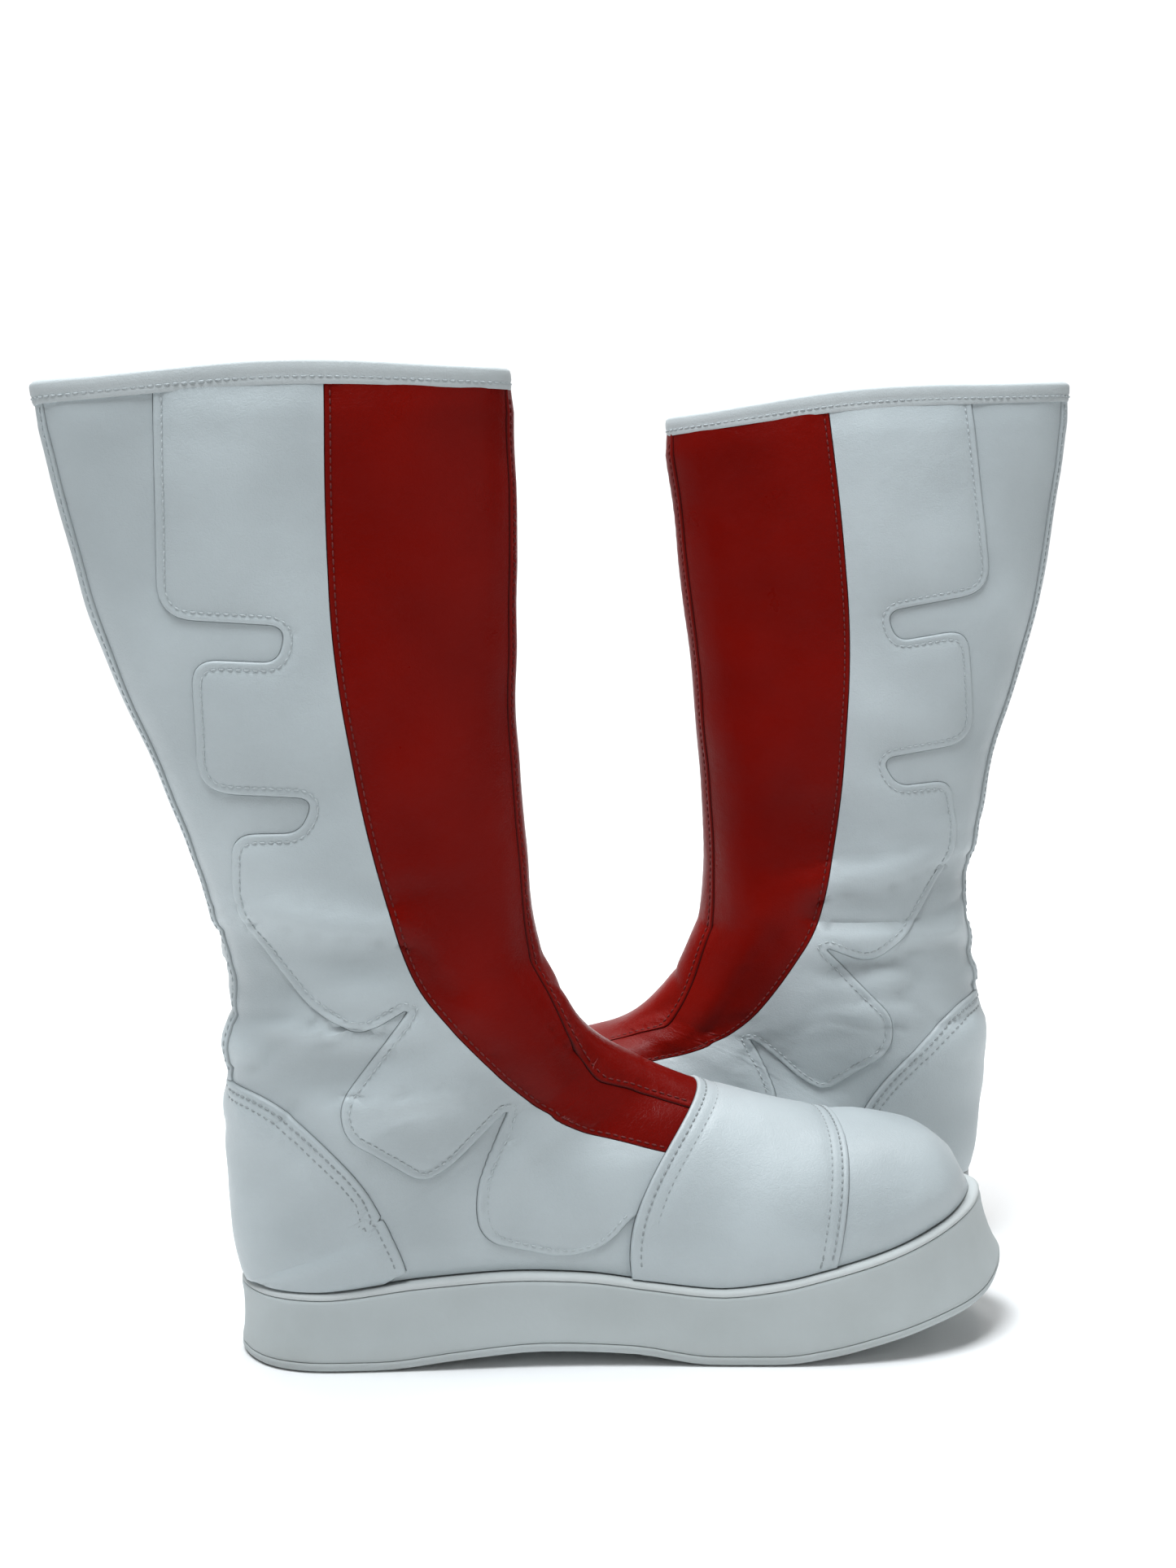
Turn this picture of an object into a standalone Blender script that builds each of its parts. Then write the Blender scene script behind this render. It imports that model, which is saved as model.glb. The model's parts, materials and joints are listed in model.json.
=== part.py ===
"""A pair of tall boxing boots: stitched leather uppers on thick flat soles.

Every size in this file is in millimetres, and meshes are written in metres.
A boot has its own frame: x runs from the heel to the toe, the lateral side is
the outer side of the leg, and z is up from the ground.

The upper is drawn on the surface of a shoemaker's last.  A point of the last
has two coordinates, station s and turn q.  Station 0 is the rim, 1 the ankle,
2 the bottom of the heel and 3 the toe.  Turn 0 is the front ridge, +1 is the
back seam or the feather edge reached over the lateral side, and -1 the same
reached over the medial side.  A panel is an outline in (s, q), raised from the
last by its inner and outer offsets.
"""

from math import ceil, cos, hypot, pi, radians, sin

import bmesh
import bpy
from mathutils import Matrix, Vector
from mathutils.geometry import delaunay_2d_cdt

MM = 0.001
GAP = 0.3                # clearance between two pieces that touch
FEATHER_GAP = 0.7        # between the upper and the sole
PANEL_GAP = 0.3          # each panel stops this far short of its seam

# ------------------------------------------------------------ overall sizes
LAST_LENGTH = 290.5      # last, heel to toe
RIM_HEIGHT = 382.0       # ground to the front of the rim
RIM_DEPTH = 176.0        # last at the rim, front to back
RIM_HALF_WIDTH = 24.0    # last at the rim, middle to side
RIM_DROP = 7.0           # the back of the rim is this much lower
RIM_SET_BACK = 7.0       # front of the rim, behind the front of the ankle
ANKLE_HEIGHT = 125.0     # feather edge to the bend at the front of the ankle
ANKLE_DEPTH = 113.0      # last at the ankle, front to back
ANKLE_HALF_WIDTH = 34.3  # last at the ankle, middle to side
HEEL_HALF_WIDTH = 28.0   # feather edge at the heel
SOLE_THICKNESS = 31.0    # ground to the feather edge at the heel
OUTSOLE_THICKNESS = 4.0
LEFT_LEAN = 7.1          # degrees that the left shaft stands more upright
LEAN_PIVOT = (45.0, 100.0)
LEAN_ZONE = (80.0, 120.0)

# ------------------------------------------------- thickness of each layer
LEATHER = 1.6            # quarter
OVERLAY = 2.8            # quarter with the side overlay on it
RED = 2.2                # red side panel
STRIP = 3.4              # red front strip on the red panels
CAP = 2.6                # toe cap
VAMP = 3.6               # vamp, which laps over all its neighbours
HEEL_COVER = 3.2
BACK_STAY = 2.8
LINING = 1.2
LINING_DEPTH = 4.2       # inner face of the shaft's lining, inside the last
FOOT_LINING_DEPTH = 5.6
INNER_INSET = FOOT_LINING_DEPTH + 1.2   # edge of the board and the footbed, inside the last
HEEL_INSET = FOOT_LINING_DEPTH + 4.7    # the same at the back of the heel
STIFFENER = 0.9
STIFFENER_DEPTH = 3.1    # inner face of the counter and the toe puff
BINDING = 0.8
BINDING_DROP = 9.0       # how far the binding reaches down each side

# ------------------------------------------------------------------ bottom
BOTTOM_EDGE = 2.5        # chamfer round the outsole
TOE_FLARE = 9.0          # the sole's toe end leans out by this much
WELT = 2.2
WELT_INSET = 8.0         # inner edge of the welt, inside the feather edge
BOARD = 2.0
FOOTBED = 3.0
SHANK = 1.2
SHANK_WIDTH = 14.0
SHANK_SPAN = (48.0, 160.0)
FILLER_START = 168.0

# ------------------------------------------------------------------ zipper
ZIP_TOP = (-3.0, 12.0)     # x, and how far below the rim the zip starts
ZIP_BOTTOM = (46.0, 121.0)  # x, z
ZIP_SLOT = 9.0
TAPE_WIDTH = 26.0
TAPE = 0.7
TAPE_DEPTH = 2.1
CHAIN_WIDTH = 5.0
CHAIN = 1.3
SLIDER_LENGTH = 13.0
SLIDER_WIDTH = 8.0
SLIDER_PLATE = 1.2
SLIDER_CLEAR = 0.8         # between the chain and the slider's plate
ARCH_WIDTH = 2.4
ARCH_BAR = 1.1
ARCH_HOLE = (5.2, 2.6)     # length and height of the hole under the arch
PULL_LENGTH = 26.0
PULL_WIDTH = 7.0
PULL_WINDOW = (3.8, 8.0)   # width and length
PULL_BAR = 1.4             # thickness of the pull
STOP = (3.0, 2.0)          # length and height of each end stop

# --------------------------------------------------------------- placing
RIGHT_PLACE = (-133.5, -21.0, 8.0)    # heel x, heel y, turn in degrees
LEFT_PLACE = (173.5, 124.0, 177.0)

MIN_STEP = 7.0           # closest that two points inside a panel may be
EDGE = 17.0              # longest edge along a panel's outline
TIP = 2.994              # last station that still has a width
INNER_TIP = 2.965        # the same for what lies inside the leather
SHAFT_ROWS, HEEL_ROWS, FOOT_ROWS, TURNS = 11, 6, 14, 10
HEEL_TURNS = 20          # the heel's panels are divided more finely

WHITE = (0.74, 0.77, 0.78)
RED_COLOR = (0.50, 0.02, 0.02)


# ------------------------------------------------------------ smooth curves
def track(knots, flat_start=False, flat_end=False):
    """A smooth curve through (position, value) knots that never overshoots."""
    at = [k[0] for k in knots]
    value = [k[1] for k in knots]
    secant = [(value[i + 1] - value[i]) / (at[i + 1] - at[i]) for i in range(len(at) - 1)]
    slope = [0.0 if flat_start else secant[0]]
    for before, after in zip(secant, secant[1:]):
        same_way = before * after > 0
        slope.append(2 * before * after / (before + after) if same_way else 0.0)
    slope.append(0.0 if flat_end else secant[-1])

    def evaluate(x):
        x = min(max(x, at[0]), at[-1])
        i = max(k for k in range(len(at) - 1) if at[k] <= x)
        step = at[i + 1] - at[i]
        t = (x - at[i]) / step
        return ((1 + 2 * t) * (1 - t) ** 2 * value[i] + t * (1 - t) ** 2 * step * slope[i]
                + t * t * (3 - 2 * t) * value[i + 1] + t * t * (t - 1) * step * slope[i + 1])
    return evaluate


def graded(knots):
    """Knots whose place is a share of the last's length."""
    return [(share * LAST_LENGTH, value) for share, value in knots]


# The side view of the sole.  The heel and the ball stand on the ground.
ground_line = track(graded([(-0.05, 0), (0.02, 0), (0.165, 0), (0.28, 3.4), (0.385, 5.6),
                            (0.5, 4.4), (0.612, 0), (0.695, 0), (0.765, 2.4), (0.845, 7.2),
                            (0.93, 12.8), (1.0, 17.5), (1.07, 27)]))
feather_rise = track(graded([(-0.05, 0), (0.09, 0), (0.23, 4.2), (0.35, 6.0), (0.44, 5.0),
                             (0.53, 1.6), (0.62, -1.0), (0.69, 1.2), (0.765, 6.0),
                             (0.83, 10.2), (0.9, 15.8), (0.98, 22.8), (1.07, 28)]))


def sole_top(x):
    """Height of the feather edge, where the upper meets the sole."""
    return SOLE_THICKNESS + feather_rise(x)


# ----------------------------------------------------------------- the last
ANKLE_FRONT = 0.377 * LAST_LENGTH
ANKLE_FRONT_Z = SOLE_THICKNESS + ANKLE_HEIGHT
ANKLE_BACK_Z = ANKLE_FRONT_Z - 13.0
RIM_FRONT = ANKLE_FRONT - RIM_SET_BACK
SHAFT_SWELL = (4.6, 2.8, -3.0)   # calf, behind a straight back, at each quarter


def shaft_knots(rim, ankle, swell=(0, 0, 0)):
    """Knots from the rim to the ankle: a straight line, less a swell."""
    knots = [(0, rim)]
    knots += [(k / 4, rim + (ankle - rim) * k / 4 - swell[k - 1]) for k in (1, 2, 3)]
    return knots + [(1, ankle)]


def from_last(knots):
    return [(s, share * LAST_LENGTH) for s, share in knots]


front_x = track(shaft_knots(RIM_FRONT, ANKLE_FRONT, (1.9, 3.8, 3.3)) + from_last([
    (1.25, 0.406), (1.5, 0.439), (1.75, 0.471), (2, 0.502), (2.1, 0.522), (2.2, 0.544),
    (2.3, 0.573), (2.4, 0.618), (2.5, 0.674), (2.6, 0.735), (2.7, 0.802), (2.8, 0.868),
    (2.9, 0.928), (2.96, 0.969), (3, 1.0)]), flat_end=True)
front_rise = track([(1, ANKLE_HEIGHT), (1.25, 110), (1.5, 96.5), (1.75, 88), (2, 82), (2.1, 79),
                    (2.2, 75.5), (2.3, 71.8), (2.4, 67.3), (2.5, 62), (2.6, 57.3), (2.7, 53.2),
                    (2.8, 51), (2.9, 47.8), (2.96, 40), (3, 23)])
back_x = track(shaft_knots(RIM_FRONT - RIM_DEPTH, ANKLE_FRONT - ANKLE_DEPTH, SHAFT_SWELL)
               + [(1.25, -4.9), (1.5, -4.7), (1.75, -3.6), (2, 0)])
bottom_x = track(from_last([(2, 0), (2.1, 0.028), (2.2, 0.096), (2.3, 0.23), (2.4, 0.38),
                            (2.5, 0.527), (2.6, 0.654), (2.7, 0.761), (2.8, 0.847), (2.9, 0.922),
                            (2.96, 0.97), (3, 1)]), flat_start=True, flat_end=True)
feather_half = {
    +1: track([(2, 0), (2.1, 0.68 * HEEL_HALF_WIDTH), (2.2, HEEL_HALF_WIDTH), (2.3, 29.5),
               (2.4, 31.5), (2.5, 36.5), (2.6, 42.5), (2.7, 46), (2.8, 43.5), (2.9, 35),
               (2.96, 22), (3, 0)]),
    -1: track([(2, 0), (2.1, 0.68 * HEEL_HALF_WIDTH), (2.2, HEEL_HALF_WIDTH), (2.3, 27.5),
               (2.4, 23), (2.5, 26), (2.6, 34), (2.7, 41), (2.8, 41), (2.9, 35),
               (2.96, 22.5), (3, 0)]),
}
SHAFT_TAPER = ANKLE_HALF_WIDTH - RIM_HALF_WIDTH
side_swell = track([(k / 4, RIM_HALF_WIDTH + SHAFT_TAPER * k / 4) for k in range(4)] + [
    (1, ANKLE_HALF_WIDTH), (1.25, ANKLE_HALF_WIDTH + 1), (1.5, ANKLE_HALF_WIDTH + 1.5),
    (1.75, 33), (2, 30), (2.1, 19), (2.2, 9), (2.3, 7), (2.4, 7), (2.5, 6), (2.6, 5),
    (2.7, 4), (2.8, 3.5), (2.9, 3), (2.96, 2), (3, 0)])


fullness_at = track([(0, 0.75), (0.5, 0.85), (1, 0.9), (1.5, 0.75), (2, 0.62), (2.2, 0.8), (2.4, 0.9)])


def front(s):
    if s <= 1:
        return front_x(s), RIM_HEIGHT + (ANKLE_FRONT_Z - RIM_HEIGHT) * s
    return front_x(s), SOLE_THICKNESS + front_rise(s)


def back(s):
    if s > 2:
        return bottom_x(s), sole_top(bottom_x(s)) + FEATHER_GAP
    if s > 1:
        return back_x(s), ANKLE_BACK_Z + (sole_top(0) + FEATHER_GAP - ANKLE_BACK_Z) * (s - 1)
    rim_back = RIM_HEIGHT - RIM_DROP
    return back_x(s), rim_back + (ANKLE_BACK_Z - rim_back) * s


def depth_share(s, q):
    """How far from the front to the back of its station a turn lies, 0 to 1."""
    edge = feather_half[1 if q >= 0 else -1](s) if s > 2 else 0.0
    opened = edge / (edge + side_swell(s)) if edge else 0.0
    t = abs(q)
    return (1 - opened) * (1 - cos(pi * t)) / 2 + opened * (1 - cos(pi * t / 2))


def last_point(s, q):
    """A point of the last as (x, lateral, z), before the left boot's lean."""
    q = (q + 1) % 2 - 1 if abs(q) > 1 else q
    t = min(abs(q), 1.0)
    side = 1 if q >= 0 else -1
    edge = feather_half[side](s) if s > 2 else 0.0
    fullness = 0.9 if t < 0.5 and s > 1 else fullness_at(s)
    half = edge * sin(pi * t / 2) ** 0.92 + side_swell(s) * max(sin(pi * t), 0.0) ** fullness
    share = depth_share(s, q)
    (x0, z0), (x1, z1) = front(s), back(s)
    return Vector((x0 + (x1 - x0) * share, side * half, z0 + (z1 - z0) * share))


def lean(point, degrees):
    """Turn what is above the ankle forward about the lean pivot."""
    low, high = LEAN_ZONE
    t = min(max((point.z - low) / (high - low), 0.0), 1.0)
    angle = radians(degrees) * t * t * (3 - 2 * t)
    x, z = point.x - LEAN_PIVOT[0], point.z - LEAN_PIVOT[1]
    return Vector((LEAN_PIVOT[0] + x * cos(angle) + z * sin(angle), point.y,
                   LEAN_PIVOT[1] + z * cos(angle) - x * sin(angle)))


class Boot:
    """One boot: its side, its lean, and the surface that its panels follow."""

    def __init__(self, name, place, degrees, hand):
        self.name = name
        self.degrees = degrees
        self.hand = hand         # -1 puts the lateral side at -y, +1 at +y
        self.empty = bpy.data.objects.new(name + "_boot", None)
        bpy.context.collection.objects.link(self.empty)
        self.empty.location = (place[0] * MM, place[1] * MM, 0)
        self.empty.rotation_euler = (0, 0, radians(place[2]))

    def surface(self, s, q):
        return lean(last_point(s, q), self.degrees)

    def normal(self, s, q):
        ds, dq = 0.02, 0.03
        along = self.surface(min(s + ds, TIP), q) - self.surface(max(s - ds, 0), q)
        around = self.surface(s, q + dq) - self.surface(s, q - dq)
        if s > 2 and 1 - dq < q <= 1:
            around = self.surface(s, q) - self.surface(s, q - dq)
        elif s > 2 and (1 < q < 1 + dq or q < dq - 1):
            around = self.surface(s, q + dq) - self.surface(s, q)
        return along.cross(around).normalized()

    def skin(self, s, q, offset):
        """A point of the last moved out by offset, and kept above the sole."""
        point = self.surface(s, q) + offset * self.normal(s, q)
        point.z = max(point.z, sole_top(point.x) + FEATHER_GAP)
        return point

    def out(self, point):
        """From (x, lateral, z) to the boot's x, y, z in metres."""
        return Vector((point.x, self.hand * point.y, point.z)) * MM

    def add(self, name, verts, faces, color, roughness=0.5, metallic=0.0, smooth=50):
        mesh = bpy.data.meshes.new(self.name + "_" + name)
        mesh.from_pydata([self.out(Vector(v)) for v in verts], [], faces)
        return self.finish(name, mesh, color, roughness, metallic, smooth)

    def finish(self, name, mesh, color, roughness, metallic, smooth):
        tidy = bmesh.new()
        tidy.from_mesh(mesh)
        bmesh.ops.recalc_face_normals(tidy, faces=tidy.faces)
        bmesh.ops.triangulate(tidy, faces=tidy.faces)
        tidy.to_mesh(mesh)
        tidy.free()
        mesh.shade_smooth()
        mesh.set_sharp_from_angle(angle=radians(smooth))
        full_name = self.name + "_" + name
        obj = bpy.data.objects.new(full_name, mesh)
        bpy.context.collection.objects.link(obj)
        obj.parent = self.empty
        material = bpy.data.materials.new(full_name)
        material.use_nodes = True
        shader = material.node_tree.nodes["Principled BSDF"]
        shader.inputs["Base Color"].default_value = (*color, 1)
        shader.inputs["Roughness"].default_value = roughness
        shader.inputs["Metallic"].default_value = metallic
        mesh.materials.append(material)
        return obj


# ---------------------------------------------------- outlines on the last
def on_side(x, z, side=1):
    """The (s, q) of a point that the side view shows at x, z."""
    def beyond(s):
        (x0, z0), (x1, z1) = front(s), back(s)
        return (x1 - x0) * (z - z0) - (z1 - z0) * (x - x0)
    low, high = 0.0, 2.99
    for _ in range(40):
        middle = (low + high) / 2
        if beyond(middle) > 0:
            low = middle
        else:
            high = middle
    s = (low + high) / 2
    (x0, z0), (x1, z1) = front(s), back(s)
    share = ((x - x0) * (x1 - x0) + (z - z0) * (z1 - z0)) / ((x1 - x0) ** 2 + (z1 - z0) ** 2)
    share = min(max(share, 0.0), 1.0)
    low, high = 0.0, 1.0
    for _ in range(30):
        middle = (low + high) / 2
        if depth_share(s, side * middle) < share:
            low = middle
        else:
            high = middle
    return s, side * (low + high) / 2


def rounded(corners, steps=2):
    """A polyline with its corners rounded: each corner is (x, z, radius)."""
    points = [Vector(corners[0][:2])]
    for before, corner, after in zip(corners, corners[1:], corners[2:]):
        at = Vector(corner[:2])
        come, go = Vector(before[:2]) - at, Vector(after[:2]) - at
        reach = min(corner[2], 0.48 * come.length, 0.48 * go.length)
        start, end = at + come.normalized() * reach, at + go.normalized() * reach
        if reach < 0.1:
            points.append(at)
            continue
        for k in range(steps + 1):
            t = k / steps
            points.append(start * (1 - t) ** 2 + at * 2 * t * (1 - t) + end * t * t)
    points.append(Vector(corners[-1][:2]))
    return [(p.x, p.y) for p in points]


# Edges of the panels in the side view: x from the heel, z above the ground,
# and the radius of each corner.
RED_EDGE = [(33, 390, 0), (32.5, 330, 30), (34, 286, 25), (37, 259, 25), (46.4, 207, 30),
            (58, 165.5, 20), (65, 148, 12), (82, 127, 15), (99, 110, 12), (113.5, 97.4, 12),
            (128, 89, 10), (140, 85.5, 10), (158, 80.6, 10), (180, 76, 0)]
ZIGZAG_LOW = [(35.5, 107, 12), (37, 93, 10), (66, 73.5, 12), (78, 80, 8), (100, 101, 4),
              (86, 70, 10), (88, 50, 14), (120, 42.5, 16), (137, 46.5, 12), (149, 60, 8),
              (175, 70, 0)]
ZIGZAG = [(-29, 390, 0), (-29, 289, 14), (18, 286, 7), (15, 272.5, 6), (-16.5, 274, 10),
          (-15, 224, 14), (27.5, 222, 7), (22, 209, 6), (-2.3, 208.5, 8), (-2.3, 180, 12),
          (24, 143, 10), (43, 132, 8), (62, 142.5, 4)] + ZIGZAG_LOW
HEEL_EDGE = [(-12, 112, 0), (10, 107, 10), (27.4, 92.7, 14), (42, 76.4, 14), (52, 58.7, 14),
             (60, 40.6, 8), (62, 25, 0)]
COUNTER_EDGE = [(-12, 86, 0), (8, 82, 10), (20, 70, 10), (25, 57, 6), (21, 47, 4), (6, 41, 8),
                (-12, 40, 0)]
ZIP_END = (44.5, 113.0)      # where the two medial panels meet under the zip
CAP_SEAM = 2.715             # station of the toe cap's back edge
PUFF_SEAM, PUFF_TIP = 2.76, 2.93   # stations where the toe puff starts and ends
LINING_SEAM = 1.42           # station where the two linings meet
strip_half = track([(0, 0.07), (0.6, 0.09), (1, 0.11), (1.6, 0.15), (2, 0.18), (2.45, 0.26)])
stay_half = track([(0, 0.085), (0.5, 0.08), (1, 0.065), (1.5, 0.06)])


def vamp_seam(q):
    """Station of the vamp's back edge, which leans forward over the ridge."""
    return 2.385 + 0.1 * q * q


def side_line(corners, side=1):
    return [on_side(x, z, side) for x, z in rounded(corners)]


def cut_line(line, kept):
    """The stretch of a line where kept(s, q) holds, with its ends on the limit."""
    result = []
    for a, b in zip(line, line[1:]):
        if kept(*a) and not result:
            result.append(a)
        if kept(*a) == kept(*b):
            if kept(*b):
                result.append(b)
            continue
        low, high = (a, b) if kept(*a) else (b, a)
        for _ in range(30):
            middle = ((low[0] + high[0]) / 2, (low[1] + high[1]) / 2)
            low, high = (middle, high) if kept(*middle) else (low, middle)
        result.append(low)
        if kept(*b):
            result.append(b)
    return result


def above_vamp(s, q):
    return s < vamp_seam(q)


def run(start, end, steps=1, shape=lambda s, q: (s, q)):
    """Points from one (s, q) to another, each passed through shape."""
    points = []
    for k in range(steps + 1):
        t = k / steps
        points.append(shape(start[0] + (end[0] - start[0]) * t,
                            start[1] + (end[1] - start[1]) * t))
    return points


def along_vamp(q0, q1, steps=6):
    return run((0, q0), (0, q1), steps, lambda s, q: (vamp_seam(q), q))


def mirror_line(line):
    return [(s, -q) for s, q in line]


def strip_edge(side):
    low = vamp_seam(strip_half(2.39))
    return run((0, 0), (low, 0), 24, lambda s, q: (s, side * strip_half(s)))


def stay_edge(end):
    return run((0, 0), (end, 0), 12, lambda s, q: (s, 1 - stay_half(s)))


station_place = track([(0, 0), (1, 226), (2, 306), (3, 566)])


def spread(s, q):
    """Flat coordinates for the mesher; the feather edge opens behind the heel."""
    if s <= 2:
        return Vector((station_place(s), 130 * q))
    kept = 1 - 0.6 * (s - 2)
    turn = q * kept if q <= 1 else 2 - (2 - q) * kept
    return Vector((station_place(s), 130 * turn))


def inside(point, loop):
    hit = False
    for a, b in zip(loop, loop[1:] + loop[:1]):
        if (a.y > point.y) != (b.y > point.y):
            if point.x < a.x + (point.y - a.y) * (b.x - a.x) / (b.y - a.y):
                hit = not hit
    return hit


def dense_loop(loop):
    """The loop with long stretches divided and doubled points left out."""
    points = []
    for a, b in zip(loop, loop[1:] + loop[:1]):
        length = (last_point(*a) - last_point(*b)).length
        if length < 0.8:
            continue
        points += run(a, b, ceil(length / EDGE))[:-1]
    return points


def pulled_in(loop, gap):
    """The loop moved inward by a distance on the last."""
    flat = [spread(*p) for p in loop]
    area = sum(a.x * b.y - b.x * a.y for a, b in zip(flat, flat[1:] + flat[:1]))
    turn = 1 if area > 0 else -1
    moved = []
    for i, (s, q) in enumerate(loop):
        scale_s = (last_point(min(s + 0.01, TIP), q) - last_point(min(s + 0.01, TIP) - 0.01, q))
        scale_s = max(scale_s.length / 0.01, 20)
        near = q - 0.01 if abs(q) > 0.5 and q > 0 or q > 1.02 else q
        scale_q = max((last_point(s, near + 0.01) - last_point(s, near)).length / 0.01, 20)
        before, after = loop[i - 1], loop[(i + 1) % len(loop)]
        come = Vector(((s - before[0]) * scale_s, (q - before[1]) * scale_q)).normalized()
        go = Vector(((after[0] - s) * scale_s, (after[1] - q) * scale_q)).normalized()
        across = Vector((-(come.y + go.y), come.x + go.x))
        if across.length < 0.2:
            across = Vector((-go.y, go.x))
        across = across.normalized() * turn * gap / max(0.6, cosine_of_half(come, go))
        moved.append((min(max(s + across.x / scale_s, 0), TIP), q + across.y / scale_q))
    return moved


def cosine_of_half(come, go):
    """Cosine of half the turn between two directions."""
    return max(0.0, (1 + come.dot(go)) / 2) ** 0.5


def grid_points(turns):
    rows = [k / SHAFT_ROWS for k in range(1, SHAFT_ROWS)]
    rows += [1 + k / HEEL_ROWS for k in range(HEEL_ROWS)]
    rows += [2 + k / FOOT_ROWS for k in range(FOOT_ROWS)] + [2.9, 2.95, 2.975]
    return [(s, j / turns) for s in rows for j in range(-turns, 2 * turns + 1)]


def ridge_edges(points):
    """Edges that keep the front ridge and the back seam in one line."""
    edges = []
    for turn in (0, 1):
        line = [i for i, (s, q) in enumerate(points) if abs(q - turn) < 0.02 and s < TIP]
        line = [i for i in line if turn == 0 or points[i][0] <= 2]
        line.sort(key=lambda i: points[i][0])
        edges += list(zip(line, line[1:]))
    return edges


def add_panel(boot, name, loop, inner, outer, color, gap=PANEL_GAP, roughness=0.45,
              turns=TURNS):
    """A panel of leather: an outline on the last between two offsets."""
    loop = pulled_in(dense_loop(loop), gap)
    flat = [spread(*p) for p in loop]
    places = [last_point(*p) for p in loop]
    points = list(loop)
    for s, q in grid_points(turns):
        if not inside(spread(s, q), flat):
            continue
        here = last_point(s, q)
        if all((here - other).length > MIN_STEP for other in places):
            places.append(here)
            points.append((s, q))
    ring = list(range(len(loop)))
    flat = [spread(*p) for p in points]
    made = delaunay_2d_cdt(flat, ridge_edges(points), [ring], 1, 1e-5)
    # where two edges cross the mesher adds a corner, which is given to its nearest point
    source = [group[0] if group else
              min(range(len(flat)), key=lambda i: (flat[i] - spot).length)
              for spot, group in zip(made[0], made[3])]
    triangles = [[source[v] for v in face] for face in made[2]]
    triangles = [face for face in triangles if len(set(face)) == 3]
    verts = [boot.skin(*p, outer) for p in points] + [boot.skin(*p, inner) for p in points]
    count = len(points)
    edges = {}
    for face in triangles:
        for a, b in zip(face, face[1:] + face[:1]):
            edges[(a, b)] = True
    walls = [(b, a, a + count, b + count) for a, b in edges if (b, a) not in edges]
    faces = triangles + [[v + count for v in reversed(face)] for face in triangles] + walls
    return boot.add(name, verts, faces, color, roughness)


# ------------------------------------------------------------- the upper
def add_upper(boot):
    strip = strip_edge(1)
    low_turn = strip_half(2.39)
    add_panel(boot, "front_strip",
              strip_edge(-1) + along_vamp(-low_turn, low_turn, 4) + strip_edge(1)[::-1],
              0, STRIP, RED_COLOR)
    red = cut_line(side_line(RED_EDGE), above_vamp)
    zigzag = cut_line(side_line(ZIGZAG), above_vamp)
    red_panel = strip + along_vamp(low_turn, red[-1][1]) + red[::-1]
    add_panel(boot, "red_panel_lateral", red_panel, 0, RED, RED_COLOR)
    add_panel(boot, "red_panel_medial", mirror_line(red_panel), 0, RED, RED_COLOR)
    add_panel(boot, "overlay_lateral",
              red + along_vamp(red[-1][1], zigzag[-1][1]) + zigzag[::-1], 0, OVERLAY, WHITE)
    heel = cut_line(side_line(HEEL_EDGE), lambda s, q: q < 1 - stay_half(s) and q < 0.995)
    top_s, foot_s = heel[0][0], heel[-1][0]
    quarter_back = (along_vamp(zigzag[-1][1], 1) + run((vamp_seam(1), 1), (foot_s, 1), 4)
                    + heel[::-1] + stay_edge(top_s)[::-1])
    add_panel(boot, "quarter_lateral", zigzag + quarter_back, 0, LEATHER, WHITE)

    # The medial side is split by the zip, from the rim to below the ankle.
    front_edge = [zip_side(0, 0.5), zip_side(1, 0.5), ZIP_END]
    back_edge = [zip_side(0, -0.5), zip_side(1, -0.5), ZIP_END]
    low = rounded([(*ZIP_END, 0)] + ZIGZAG_LOW)[1:]
    low = cut_line([on_side(x, z) for x, z in [ZIP_END] + low], above_vamp)
    ahead = [on_side(x, z) for x, z in straight(front_edge, 8)]
    behind = [on_side(x, z) for x, z in straight(back_edge, 8)]
    ahead[0], behind[0] = (0, ahead[0][1]), (0, behind[0][1])
    add_panel(boot, "overlay_medial", mirror_line(
        red + along_vamp(red[-1][1], low[-1][1]) + low[::-1] + ahead[::-1]), 0, OVERLAY, WHITE)
    add_panel(boot, "quarter_medial", mirror_line(behind + low + quarter_back),
              0, LEATHER, WHITE)

    stay = stay_edge(top_s)
    other = [(s, 2 - q) for s, q in stay]
    add_panel(boot, "back_stay", stay + other[::-1], 0, BACK_STAY, WHITE)
    over = [(s, 2 - q) for s, q in heel]
    feather = run((foot_s, 1), (2, 1), 4)
    cover = heel + feather + run((2, 1), (foot_s, 1), 4, lambda s, q: (s, 1.0005)) + over[::-1]
    add_panel(boot, "heel_cover", cover, 0, HEEL_COVER, WHITE, turns=HEEL_TURNS)
    add_panel(boot, "vamp", along_vamp(-1, 1, 14) + run((vamp_seam(1), 1), (CAP_SEAM, 1), 3)
              + run((CAP_SEAM, 1), (CAP_SEAM, -1), 14)
              + run((CAP_SEAM, -1), (vamp_seam(1), -1), 3), 0, VAMP, WHITE)
    add_panel(boot, "toe_cap", foot_sheet(CAP_SEAM, 1.0), 0, CAP, WHITE)
    return heel


def foot_sheet(start, reach, end=TIP):
    """An outline from a station to the toe, over the ridge."""
    return (run((start, -reach), (start, reach), 14) + run((start, reach), (end, reach), 6)
            + run((end, reach), (end, -reach), 2) + run((end, -reach), (start, -reach), 6))


def straight(points, steps):
    """A polyline with its first stretch divided into equal steps."""
    (x0, z0), (x1, z1) = points[0], points[1]
    first = [(x0 + (x1 - x0) * k / steps, z0 + (z1 - z0) * k / steps) for k in range(steps)]
    return first + list(points[1:])


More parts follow.
